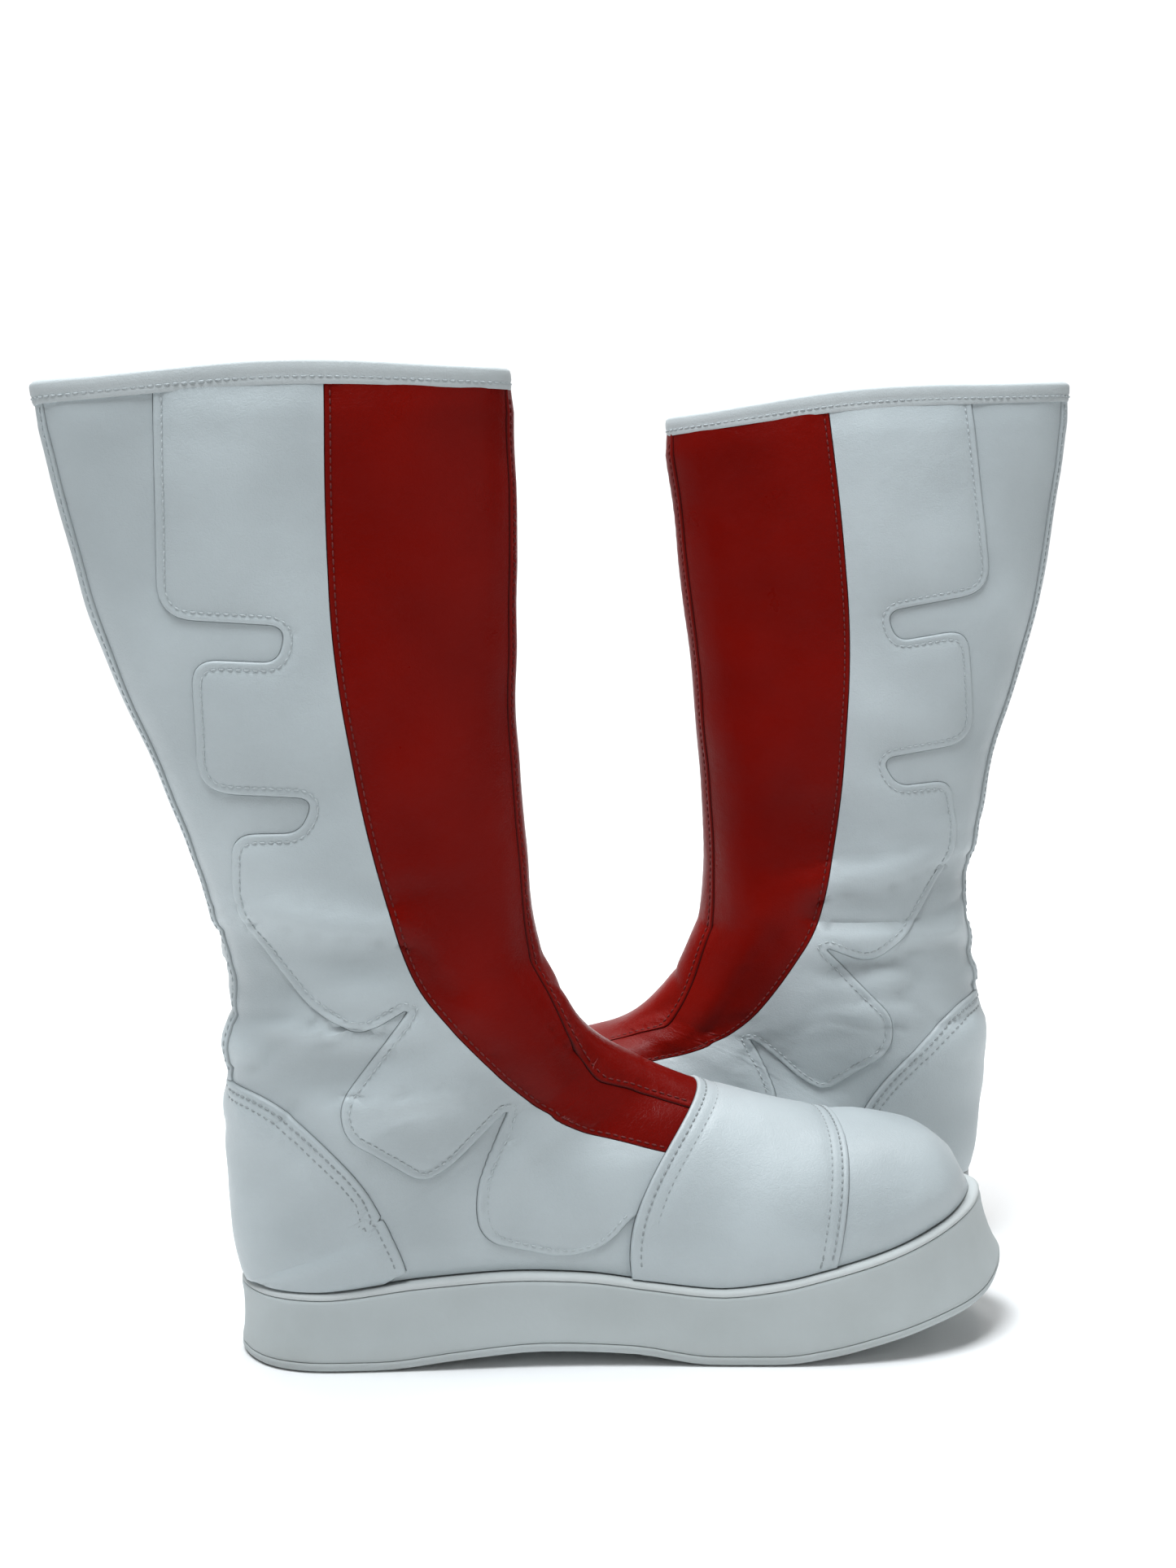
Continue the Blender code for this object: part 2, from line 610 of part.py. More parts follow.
def zip_side(t, across):
    """Side-view point at share t down the zip, across as a share of the slot."""
    drop = RIM_DROP * (RIM_FRONT - ZIP_TOP[0]) / RIM_DEPTH
    top = (ZIP_TOP[0], RIM_HEIGHT - drop - 0.5)
    dx, dz = ZIP_BOTTOM[0] - top[0], ZIP_BOTTOM[1] - top[1]
    length = hypot(dx, dz)
    return (top[0] + dx * t - dz / length * ZIP_SLOT * across,
            top[1] + dz * t + dx / length * ZIP_SLOT * across)


def add_inside(boot):
    """Linings, heel counter and toe puff, between the leather and the foot."""
    seam = [on_side(*zip_side(k / 10, 0), -1)[1] for k in range(11)]
    stations = [on_side(*zip_side(k / 10, 0), -1)[0] for k in range(11)]
    stations[0] = 0
    slit = track(list(zip(stations, seam)) + [(LINING_SEAM + 0.05, seam[-1])])
    half = 0.6 * ZIP_SLOT / 190

    def edge(side):
        return run((0, 0), (LINING_SEAM, 0), 14,
                   lambda s, q: (s, slit(s) + (half if side > 0 else 2 - half)))
    low = run(edge(1)[-1], edge(-1)[-1], 24)
    rim = [(0, q) for q in rim_turns(edge(1)[0][1])[::-1]]
    shell = (-LINING_DEPTH, LINING - LINING_DEPTH)
    foot_shell = (-FOOT_LINING_DEPTH, LINING - FOOT_LINING_DEPTH)
    add_panel(boot, "shaft_lining", edge(1) + low[1:-1] + edge(-1)[::-1] + rim[1:-1], *shell,
              (0.62, 0.60, 0.56))
    back = run((LINING_SEAM, 1), (2, 1), 4) + run((2, 1), (INNER_TIP, 1), 14)[1:]
    add_panel(boot, "foot_lining", run((LINING_SEAM, -1), (LINING_SEAM, 1), 24)[:-1] + back
              + run((INNER_TIP, 1), (INNER_TIP, -1), 4)[1:-1] + mirror_line(back)[::-1], *foot_shell,
              (0.62, 0.60, 0.56))
    inner = (-STIFFENER_DEPTH, STIFFENER - STIFFENER_DEPTH)
    counter = cut_line(side_line(COUNTER_EDGE), lambda s, q: q < 0.995)
    over = [(s, 2 - q) for s, q in counter]
    add_panel(boot, "heel_counter", counter + over[::-1], *inner, (0.35, 0.30, 0.22),
              turns=HEEL_TURNS)
    add_panel(boot, "toe_puff", foot_sheet(PUFF_SEAM, 0.82, PUFF_TIP), *inner, (0.35, 0.30, 0.22))


def rim_turns(start):
    """Turns round the rim, from one side of the zip to the other."""
    end = start + 2 * (1 - (start - zip_turn()))
    turns = [k / 20 for k in range(-20, 41) if start + 0.01 < k / 20 < end - 0.01]
    return [start] + turns + [end]


def zip_turn():
    return on_side(*zip_side(0, 0), -1)[1]


def add_binding(boot):
    """A folded strip over the rim, open at the zip."""
    turn = zip_turn()
    gap = 0.5 * ZIP_SLOT / 190 + 0.004
    turns = rim_turns(turn + gap)
    count = len(turns) - 1
    outer, inner = STRIP + 0.5, -LINING_DEPTH - 0.6
    lift = Vector((0, 0, 0.5))
    verts, faces = [], []
    for q in turns:
        low = BINDING_DROP / (RIM_HEIGHT - ANKLE_FRONT_Z)
        tip_out, tip_in = boot.skin(0, q, outer), boot.skin(0, q, inner)
        verts += [boot.skin(low, q, outer), boot.skin(low, q, outer + BINDING),
                  boot.skin(0, q, outer + BINDING) + lift, tip_out + 3.2 * lift,
                  tip_in + 3.2 * lift, boot.skin(0, q, inner - BINDING) + lift,
                  boot.skin(low, q, inner - BINDING), boot.skin(low, q, inner),
                  tip_in + lift, tip_out + lift]
    ring = 10
    for k in range(count):
        for j in range(ring):
            a, b = k * ring + j, k * ring + (j + 1) % ring
            faces.append((a, b, b + ring, a + ring))
    faces += [list(range(ring))[::-1], [count * ring + j for j in range(ring)]]
    boot.add("collar_binding", verts, faces, WHITE)


# --------------------------------------------------------------- the zip
def zip_frame(boot):
    """Top and bottom of the zip's line, with its down, outward and cross axes."""
    top = boot.skin(*on_side(*zip_side(0, 0), -1), 0)
    bottom = boot.skin(*on_side(*zip_side(1, 0), -1), 0)
    middle = on_side(*zip_side(0.5, 0), -1)
    down = (bottom - top).normalized()
    outward = boot.normal(*middle)
    outward = (outward - outward.dot(down) * down).normalized()
    return top, bottom, down, outward, outward.cross(down)


def zip_strip(boot, name, width, start, end, inner, outer, color, **look):
    """A straight strip along the zip, between two distances from its top."""
    top, bottom = zip_frame(boot)[:2]
    length = (bottom - top).length
    edges = []
    for side in (0.5, -0.5):
        share = side * width / ZIP_SLOT
        edges.append([on_side(*zip_side((start + (length + end - start) * k / 12) / length, share),
                              -1) for k in range(13)])
    return add_panel(boot, name, edges[0] + edges[1][::-1], inner, outer, color, 0, **look)


def box_mesh(low, high):
    verts = [(x, y, z) for x in (low[0], high[0]) for y in (low[1], high[1])
             for z in (low[2], high[2])]
    faces = [(0, 1, 3, 2), (4, 6, 7, 5), (0, 4, 5, 1), (2, 3, 7, 6), (0, 2, 6, 4), (1, 5, 7, 3)]
    return verts, faces


def pull_mesh():
    """A flat tag with a window at the end that hangs in the arch."""
    half, thick, end = PULL_WIDTH / 2, PULL_BAR / 2, PULL_LENGTH
    window, reach = PULL_WINDOW[0] / 2, PULL_WINDOW[1]
    flat = [(-thick, -half), (reach, -half), (end - 2, -half), (end, 2 - half), (end, half - 2),
            (end - 2, half), (reach, half), (-thick, half),
            (thick, -window), (reach, -window), (reach, window), (thick, window)]
    caps = [(0, 1, 9, 8), (1, 2, 3, 4, 5, 6, 10, 9), (6, 7, 11, 10), (7, 0, 8, 11)]
    count = len(flat)
    verts = [(x, y, thick) for x, y in flat] + [(x, y, -thick) for x, y in flat]
    faces = list(caps) + [tuple(v + count for v in face[::-1]) for face in caps]
    for ring in (range(8), range(8, 12)):
        order = list(ring)
        faces += [(b, a, a + count, b + count) for a, b in zip(order, order[1:] + order[:1])]
    return verts, faces


def add_metal(boot, name, verts, faces, origin, axes):
    """A small metal piece built in its own axes, with its origin on its joint."""
    mesh = bpy.data.meshes.new(boot.name + "_" + name)
    mesh.from_pydata([Vector(v) * MM for v in verts], [], faces)
    obj = boot.finish(name, mesh, (0.55, 0.56, 0.58), 0.3, 1.0, 40)
    down, cross, outward = [Vector((v.x, boot.hand * v.y, v.z)) for v in axes]
    if boot.hand < 0:
        cross = outward.cross(down)
    turn = Matrix((down, cross, outward)).transposed().to_4x4()
    obj.matrix_local = Matrix.Translation(boot.out(origin)) @ turn
    return obj


def add_zip(boot):
    top, bottom, down, outward, cross = zip_frame(boot)
    begin = ZIP_TOP[1]
    zip_strip(boot, "zipper_tape", TAPE_WIDTH, BINDING_DROP + 2, 4,
              -TAPE_DEPTH, TAPE - TAPE_DEPTH, (0.55, 0.57, 0.58), roughness=0.9)
    chain_low = TAPE - TAPE_DEPTH + GAP
    stop_length = STOP[0]
    zip_strip(boot, "zipper_chain", CHAIN_WIDTH, begin + stop_length + GAP, -stop_length - GAP,
              chain_low, chain_low + CHAIN, (0.62, 0.64, 0.65), roughness=0.5)
    chain_top = chain_low + CHAIN
    axes = (down, cross, outward)
    length = (bottom - top).length
    for name, centre in (("top", begin + stop_length / 2), ("bottom", length - stop_length / 2)):
        block = box_mesh((-stop_length / 2, -CHAIN_WIDTH / 2, chain_low),
                         (stop_length / 2, CHAIN_WIDTH / 2, chain_low + STOP[1] * 0.7))
        add_metal(boot, "zipper_" + name + "_stop", *block, top + centre * down, axes)
    place = begin + stop_length + SLIDER_LENGTH / 2 + 1.0
    origin = top + place * down
    add_slider(boot, origin, axes, chain_low, chain_top)
    add_pull(boot, origin, axes, chain_top)


def add_slider(boot, origin, axes, chain_low, chain_top):
    """A channel over the chain, with an arch on it that holds the pull."""
    half, wide = SLIDER_LENGTH / 2, SLIDER_WIDTH / 2
    plate = chain_top + SLIDER_CLEAR
    flange = CHAIN_WIDTH / 2 + 0.6
    section = [(-wide, chain_low + 0.4), (-flange, chain_low + 0.4), (-flange, plate),
               (flange, plate), (flange, chain_low + 0.4), (wide, chain_low + 0.4),
               (wide, plate + SLIDER_PLATE), (-wide, plate + SLIDER_PLATE)]
    verts = [(x, y, z) for x in (-half, half) for y, z in section]
    count = len(section)
    faces = [(j, (j + 1) % count, (j + 1) % count + count, j + count) for j in range(count)]
    faces += [list(range(count))[::-1], list(range(count, 2 * count))]
    body = add_metal(boot, "zipper_slider", verts, faces, origin, axes)
    base = plate + SLIDER_PLATE
    span, height = ARCH_HOLE[0] / 2, ARCH_HOLE[1]
    over = span + ARCH_BAR
    arch = [(-over, base - 0.4), (-over, base + 0.6 * height), (-0.6 * over, base + height + 0.9),
            (0.6 * over, base + height + 0.9), (over, base + 0.6 * height), (over, base - 0.4),
            (span, base - 0.4), (span, base + 0.5 * height), (0.5 * span, base + height),
            (-0.5 * span, base + height), (-span, base + 0.5 * height), (-span, base - 0.4)]
    verts = [(x, y, z) for y in (-ARCH_WIDTH / 2, ARCH_WIDTH / 2) for x, z in arch]
    count = len(arch)
    faces = [(j, (j + 1) % count, (j + 1) % count + count, j + count) for j in range(count)]
    faces += [list(range(count))[::-1], list(range(count, 2 * count))]
    helper = add_metal(boot, "arch_helper", verts, faces, origin, axes)
    helper.hide_render = True
    helper.display_type = "WIRE"
    join = body.modifiers.new("arch", "BOOLEAN")
    join.operation = "UNION"
    join.object = helper


def add_pull(boot, origin, axes, chain_top):
    """The pull hangs by its top bar from the slider's arch."""
    verts, faces = pull_mesh()
    outward = axes[2]
    height = chain_top + SLIDER_CLEAR + SLIDER_PLATE + PULL_BAR / 2 + 0.35
    add_metal(boot, "zipper_pull", verts, faces, origin + height * outward, axes)


# -------------------------------------------------------------- the bottom
margin = track(graded([(0, 3.4), (0.1, 5.0), (0.28, 6.6), (1, 6.6)]))
flare = track(graded([(0, 0), (0.74, 0), (0.86, 2.5), (1.0, TOE_FLARE)]))


inner_edge = track(graded([(0, -HEEL_INSET), (0.12, 1 - HEEL_INSET), (0.25, -INNER_INSET),
                           (1, -INNER_INSET)]))


def sole_outline(grow):
    """The feather edge in plan as (x, lateral), moved out by grow(x)."""
    stations = [2 + 0.04 * k for k in range(5)] + [2.2 + 0.05 * k for k in range(1, 15)]
    stations += [2.93, 2.96, 2.985]
    lateral = [(bottom_x(s), feather_half[1](s)) for s in stations]
    medial = [(bottom_x(s), -feather_half[-1](s)) for s in stations[1:]]
    loop = [Vector(p) for p in lateral + [(LAST_LENGTH, 0)] + medial[::-1]]
    moved = []
    for before, here, after in zip([loop[-1]] + loop, loop, loop[1:] + loop[:1]):
        along = (after - before).normalized()
        moved.append(here + Vector((along.y, -along.x)) * -grow(here.x))
    return moved


def plate_mesh(levels, cell=16.0):
    """A flat-bottomed body: levels are (outline, height function) from the bottom up."""
    count = len(levels[0][0])
    verts, faces = [], []
    for loop, height in levels:
        verts += [(p.x, p.y, height(p.x)) for p in loop]
    for k in range(len(levels) - 1):
        for j in range(count):
            a, b = k * count + j, k * count + (j + 1) % count
            faces.append((a, b, b + count, a + count))
    for level, (loop, height) in ((0, levels[0]), (len(levels) - 1, levels[-1])):
        points = list(loop)
        low_x, high_x = min(p.x for p in loop), max(p.x for p in loop)
        rows = ceil((high_x - low_x) / cell)
        for i in range(1, rows):
            x = low_x + (high_x - low_x) * i / rows
            for y in (-24, -8, 8, 24):
                here = Vector((x, y))
                far = all((here - p).length > 0.5 * cell for p in loop)
                if far and inside(here, loop):
                    points.append(here)
        made = delaunay_2d_cdt(points, [], [list(range(count))], 1, 1e-5)
        index = {}
        for i, p in enumerate(points):
            index[i] = level * count + i if i < count else len(verts)
            if i >= count:
                verts.append((p.x, p.y, height(p.x)))
        caps = [[index[made[3][v][0]] for v in face] for face in made[2]]
        faces += [face[::-1] for face in caps] if level == 0 else caps
    return verts, faces


def ring_mesh(outer, inner, low, high):
    """A flat ring between two outlines with the same number of points."""
    count = len(outer)
    verts = [(p.x, p.y, f(p.x)) for loop, f in ((outer, low), (outer, high), (inner, high),
                                                (inner, low)) for p in loop]
    faces = []
    for k in range(4):
        for j in range(count):
            a, b = k * count + j, k * count + (j + 1) % count
            c, d = (k + 1) % 4 * count + (j + 1) % count, (k + 1) % 4 * count + j
            faces.append((a, b, c, d))
    return verts, faces


def above_ground(height):
    return lambda x: ground_line(x) + height


def under_top(depth):
    return lambda x: sole_top(x) - depth


def add_bottom(boot):
    foot = sole_outline(lambda x: margin(x) + flare(x))
    tread = sole_outline(lambda x: margin(x) + flare(x) - BOTTOM_EDGE)
    shelf = sole_outline(margin)
    rubber, foam = (0.70, 0.72, 0.72), (0.78, 0.79, 0.79)
    boot.add("outsole", *plate_mesh([(tread, ground_line), (foot, above_ground(BOTTOM_EDGE)),
                                     (foot, above_ground(OUTSOLE_THICKNESS))]), rubber, 0.7)
    start = OUTSOLE_THICKNESS + GAP
    boot.add("midsole", *plate_mesh([(foot, above_ground(start)),
                                     (shelf, under_top(WELT + GAP))]), foam, 0.75)
    hole = sole_outline(lambda x: -WELT_INSET)
    boot.add("welt", *ring_mesh(shelf, hole, under_top(WELT), under_top(0)), foam, 0.7)
    space = [p for p in sole_outline(lambda x: -WELT_INSET - 0.5) if p.x > FILLER_START]
    first = max(range(len(space)), key=lambda i: (space[i] - space[i - 1]).length)
    space = space[first:] + space[:first]
    boot.add("ball_filler", *plate_mesh([(space, under_top(WELT)), (space, under_top(GAP))]),
             (0.45, 0.33, 0.2), 0.9)
    steps = 10
    ends = [SHANK_SPAN[0] + (SHANK_SPAN[1] - SHANK_SPAN[0]) * k / steps for k in range(steps + 1)]
    bar = [Vector((x, SHANK_WIDTH / 2)) for x in ends]
    bar += [Vector((x, -SHANK_WIDTH / 2)) for x in ends[::-1]]
    boot.add("shank", *plate_mesh([(bar, under_top(WELT)), (bar, under_top(WELT - SHANK))]),
             (0.5, 0.5, 0.52), 0.35, 1.0)
    board = sole_outline(inner_edge)
    level = FEATHER_GAP
    for name, thick, color in (("insole_board", BOARD, (0.42, 0.34, 0.24)),
                               ("footbed", FOOTBED, (0.6, 0.58, 0.54))):
        boot.add(name, *plate_mesh([(board, under_top(-level)), (board, under_top(-level - thick))]),
                 color, 0.9)
        level += thick + GAP


def add_boot(name, place, degrees, hand):
    boot = Boot(name, place, degrees, hand)
    add_bottom(boot)
    add_upper(boot)
    add_inside(boot)
    add_binding(boot)
    add_zip(boot)
    return boot


def centre_pair(boots):
    """Put the middle of the pair's footprint at the origin."""
    bpy.context.view_layer.update()
    corners = [obj.matrix_world @ v.co for obj in bpy.data.objects
               if obj.type == "MESH" and not obj.hide_render for v in obj.data.vertices]
    for axis in (0, 1):
        values = [c[axis] for c in corners]
        for boot in boots:
            boot.empty.location[axis] -= (min(values) + max(values)) / 2


def main():
    for obj in list(bpy.data.objects):
        bpy.data.objects.remove(obj)
    centre_pair([add_boot("right", RIGHT_PLACE, 0.0, -1),
                 add_boot("left", LEFT_PLACE, LEFT_LEAN, 1)])


if __name__ == "__main__":
    main()
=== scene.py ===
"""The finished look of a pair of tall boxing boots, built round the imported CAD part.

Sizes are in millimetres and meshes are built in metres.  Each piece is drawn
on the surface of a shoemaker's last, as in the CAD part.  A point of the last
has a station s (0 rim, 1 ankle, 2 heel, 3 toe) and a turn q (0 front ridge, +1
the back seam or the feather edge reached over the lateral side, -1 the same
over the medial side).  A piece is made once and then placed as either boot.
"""

import json
from bisect import bisect_right
from math import ceil, cos, hypot, pi, radians, sin

import bmesh
import bpy
import numpy as np
from mathutils import Matrix, Vector, noise
from mathutils.geometry import delaunay_2d_cdt
from mathutils.kdtree import KDTree


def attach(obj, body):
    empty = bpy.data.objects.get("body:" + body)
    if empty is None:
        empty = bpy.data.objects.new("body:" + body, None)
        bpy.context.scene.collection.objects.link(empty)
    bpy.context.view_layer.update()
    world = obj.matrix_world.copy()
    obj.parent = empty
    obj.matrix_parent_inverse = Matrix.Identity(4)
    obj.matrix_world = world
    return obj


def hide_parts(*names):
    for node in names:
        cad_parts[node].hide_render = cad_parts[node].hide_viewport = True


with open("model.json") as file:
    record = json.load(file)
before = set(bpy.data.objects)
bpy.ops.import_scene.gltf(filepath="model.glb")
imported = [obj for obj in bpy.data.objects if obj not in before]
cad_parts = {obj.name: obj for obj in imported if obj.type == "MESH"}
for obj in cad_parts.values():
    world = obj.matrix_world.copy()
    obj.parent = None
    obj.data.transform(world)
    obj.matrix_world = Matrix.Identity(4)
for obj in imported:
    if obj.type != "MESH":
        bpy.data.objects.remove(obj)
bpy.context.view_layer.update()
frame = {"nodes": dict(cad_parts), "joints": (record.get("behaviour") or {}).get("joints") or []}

MM = 0.001
FEATHER_GAP = 0.7        # between the upper and the sole
GAP = 0.3

# ------------------------------------------------------------ overall sizes
LAST_LENGTH = 290.5      # last, heel to toe
RIM_HEIGHT = 382.0       # ground to the front of the rim
RIM_DEPTH = 176.0        # last at the rim, front to back
RIM_HALF_WIDTH = 24.0    # last at the rim, middle to side
RIM_DROP = 7.0           # the back of the rim is this much lower
RIM_SET_BACK = 7.0       # front of the rim, behind the front of the ankle
ANKLE_HEIGHT = 125.0     # feather edge to the bend at the front of the ankle
ANKLE_DEPTH = 113.0      # last at the ankle, front to back
ANKLE_HALF_WIDTH = 34.3  # last at the ankle, middle to side
HEEL_HALF_WIDTH = 28.0   # feather edge at the heel
SOLE_THICKNESS = 31.0    # ground to the feather edge at the heel
OUTSOLE_THICKNESS = 4.0
LEFT_LEAN = 7.1          # degrees that the left shaft stands more upright
LEAN_PIVOT = (45.0, 100.0)
LEAN_ZONE = (80.0, 120.0)

# ------------------------------------------------- thickness of each layer
LEATHER = 1.6            # quarter
OVERLAY = 2.8            # quarter with the side overlay on it
RED = 2.2                # red side panel
STRIP = 3.4              # red front strip on the red panels
CAP = 2.6                # toe cap
VAMP = 3.6               # vamp, which laps over all its neighbours
HEEL_COVER = 3.2
BACK_STAY = 2.8
LINING = 1.2
LINING_DEPTH = 4.2       # inner face of the shaft's lining, inside the last
FOOT_LINING_DEPTH = 5.6
INNER_INSET = FOOT_LINING_DEPTH + 1.2   # edge of the board and the footbed, inside the last
HEEL_INSET = FOOT_LINING_DEPTH + 4.7    # the same at the back of the heel

# ------------------------------------------------------------------ bottom
BOTTOM_EDGE = 2.5        # chamfer round the outsole
TOE_FLARE = 9.0          # the sole's toe end leans out by this much
WELT = 2.2
WELT_INSET = 8.0         # inner edge of the welt, inside the feather edge
BOARD = 2.0
FOOTBED = 3.0

# ------------------------------------------------------------------ zipper
ZIP_TOP = (-3.0, 12.0)     # x, and how far below the rim the zip starts
ZIP_BOTTOM = (46.0, 121.0)  # x, z
ZIP_SLOT = 9.0

# --------------------------------------------------------------- placing
TIP = 2.994              # last station that still has a width
INNER_TIP = 2.965


# ------------------------------------------------------------ smooth curves
class Track:
    """A smooth curve through (position, value) knots that never overshoots."""

    def __init__(self, knots, flat_start=False, flat_end=False):
        self.at = [float(k[0]) for k in knots]
        self.value = [float(k[1]) for k in knots]
        at, value = self.at, self.value
        secant = [(value[i + 1] - value[i]) / (at[i + 1] - at[i]) for i in range(len(at) - 1)]
        self.slope = [0.0 if flat_start else secant[0]]
        for before, after in zip(secant, secant[1:]):
            same_way = before * after > 0
            self.slope.append(2 * before * after / (before + after) if same_way else 0.0)
        self.slope.append(0.0 if flat_end else secant[-1])
        self.arrays = [np.array(part) for part in (self.at, self.value, self.slope)]

    def __call__(self, x):
        at, value, slope = self.at, self.value, self.slope
        x = min(max(x, at[0]), at[-1])
        i = min(bisect_right(at, x), len(at) - 1) - 1
        step = at[i + 1] - at[i]
        t = (x - at[i]) / step
        return ((1 + 2 * t) * (1 - t) ** 2 * value[i] + t * (1 - t) ** 2 * step * slope[i]
                + t * t * (3 - 2 * t) * value[i + 1] + t * t * (t - 1) * step * slope[i + 1])

    def many(self, x):
        """The same for an array."""
        at, value, slope = self.arrays
        x = np.clip(x, at[0], at[-1])
        i = np.clip(np.searchsorted(at, x, "right") - 1, 0, len(at) - 2)
        step = at[i + 1] - at[i]
        t = (x - at[i]) / step
        return ((1 + 2 * t) * (1 - t) ** 2 * value[i] + t * (1 - t) ** 2 * step * slope[i]
                + t * t * (3 - 2 * t) * value[i + 1] + t * t * (t - 1) * step * slope[i + 1])


def graded(knots):
    """Knots whose place is a share of the last's length."""
    return [(share * LAST_LENGTH, value) for share, value in knots]


# The side view of the sole.  The heel and the ball stand on the ground.
ground_line = Track(graded([(-0.05, 0), (0.02, 0), (0.165, 0), (0.28, 3.4), (0.385, 5.6),
                            (0.5, 4.4), (0.612, 0), (0.695, 0), (0.765, 2.4), (0.845, 7.2),
                            (0.93, 12.8), (1.0, 17.5), (1.07, 27)]))
feather_rise = Track(graded([(-0.05, 0), (0.09, 0), (0.23, 4.2), (0.35, 6.0), (0.44, 5.0),
                             (0.53, 1.6), (0.62, -1.0), (0.69, 1.2), (0.765, 6.0),
                             (0.83, 10.2), (0.9, 15.8), (0.98, 22.8), (1.07, 28)]))


def sole_top(x):
    """Height of the feather edge, where the upper meets the sole."""
    return SOLE_THICKNESS + feather_rise(x)


# ----------------------------------------------------------------- the last
ANKLE_FRONT = 0.377 * LAST_LENGTH
ANKLE_FRONT_Z = SOLE_THICKNESS + ANKLE_HEIGHT
ANKLE_BACK_Z = ANKLE_FRONT_Z - 13.0
RIM_FRONT = ANKLE_FRONT - RIM_SET_BACK
SHAFT_SWELL = (4.6, 2.8, -3.0)   # calf, behind a straight back, at each quarter


def shaft_knots(rim, ankle, swell=(0, 0, 0)):
    """Knots from the rim to the ankle: a straight line, less a swell."""
    knots = [(0, rim)]
    knots += [(k / 4, rim + (ankle - rim) * k / 4 - swell[k - 1]) for k in (1, 2, 3)]
    return knots + [(1, ankle)]


def from_last(knots):
    return [(s, share * LAST_LENGTH) for s, share in knots]


front_x = Track(shaft_knots(RIM_FRONT, ANKLE_FRONT, (1.9, 3.8, 3.3)) + from_last([
    (1.25, 0.406), (1.5, 0.439), (1.75, 0.471), (2, 0.502), (2.1, 0.522), (2.2, 0.544),
    (2.3, 0.573), (2.4, 0.618), (2.5, 0.674), (2.6, 0.735), (2.7, 0.802), (2.8, 0.868),
    (2.9, 0.928), (2.96, 0.969), (3, 1.0)]), flat_end=True)
front_rise = Track([(1, ANKLE_HEIGHT), (1.25, 110), (1.5, 96.5), (1.75, 88), (2, 82), (2.1, 79),
                    (2.2, 75.5), (2.3, 71.8), (2.4, 67.3), (2.5, 62), (2.6, 57.3), (2.7, 53.2),
                    (2.8, 51), (2.9, 47.8), (2.96, 40), (3, 23)])
back_x = Track(shaft_knots(RIM_FRONT - RIM_DEPTH, ANKLE_FRONT - ANKLE_DEPTH, SHAFT_SWELL)
               + [(1.25, -4.9), (1.5, -4.7), (1.75, -3.6), (2, 0)])
bottom_x = Track(from_last([(2, 0), (2.1, 0.028), (2.2, 0.096), (2.3, 0.23), (2.4, 0.38),
                            (2.5, 0.527), (2.6, 0.654), (2.7, 0.761), (2.8, 0.847), (2.9, 0.922),
                            (2.96, 0.97), (3, 1)]), flat_start=True, flat_end=True)
feather_half = {
    +1: Track([(2, 0), (2.1, 0.68 * HEEL_HALF_WIDTH), (2.2, HEEL_HALF_WIDTH), (2.3, 29.5),
               (2.4, 31.5), (2.5, 36.5), (2.6, 42.5), (2.7, 46), (2.8, 43.5), (2.9, 35),
               (2.96, 22), (3, 0)]),
    -1: Track([(2, 0), (2.1, 0.68 * HEEL_HALF_WIDTH), (2.2, HEEL_HALF_WIDTH), (2.3, 27.5),
               (2.4, 23), (2.5, 26), (2.6, 34), (2.7, 41), (2.8, 41), (2.9, 35),
               (2.96, 22.5), (3, 0)]),
}
SHAFT_TAPER = ANKLE_HALF_WIDTH - RIM_HALF_WIDTH
side_swell = Track([(k / 4, RIM_HALF_WIDTH + SHAFT_TAPER * k / 4) for k in range(4)] + [
    (1, ANKLE_HALF_WIDTH), (1.25, ANKLE_HALF_WIDTH + 1), (1.5, ANKLE_HALF_WIDTH + 1.5),
    (1.75, 33), (2, 30), (2.1, 19), (2.2, 9), (2.3, 7), (2.4, 7), (2.5, 6), (2.6, 5),
    (2.7, 4), (2.8, 3.5), (2.9, 3), (2.96, 2), (3, 0)])

fullness_at = Track([(0, 0.75), (0.5, 0.85), (1, 0.9), (1.5, 0.75), (2, 0.62), (2.2, 0.8),
                     (2.4, 0.9)])


def front(s):
    if s <= 1:
        return front_x(s), RIM_HEIGHT + (ANKLE_FRONT_Z - RIM_HEIGHT) * s
    return front_x(s), SOLE_THICKNESS + front_rise(s)


def back(s):
    if s > 2:
        return bottom_x(s), sole_top(bottom_x(s)) + FEATHER_GAP
    if s > 1:
        return back_x(s), ANKLE_BACK_Z + (sole_top(0) + FEATHER_GAP - ANKLE_BACK_Z) * (s - 1)
    rim_back = RIM_HEIGHT - RIM_DROP
    return back_x(s), rim_back + (ANKLE_BACK_Z - rim_back) * s


def depth_share(s, q):
    """How far from the front to the back of its station a turn lies, 0 to 1."""
    edge = feather_half[1 if q >= 0 else -1](s) if s > 2 else 0.0
    opened = edge / (edge + side_swell(s)) if edge else 0.0
    t = abs(q)
    return (1 - opened) * (1 - cos(pi * t)) / 2 + opened * (1 - cos(pi * t / 2))


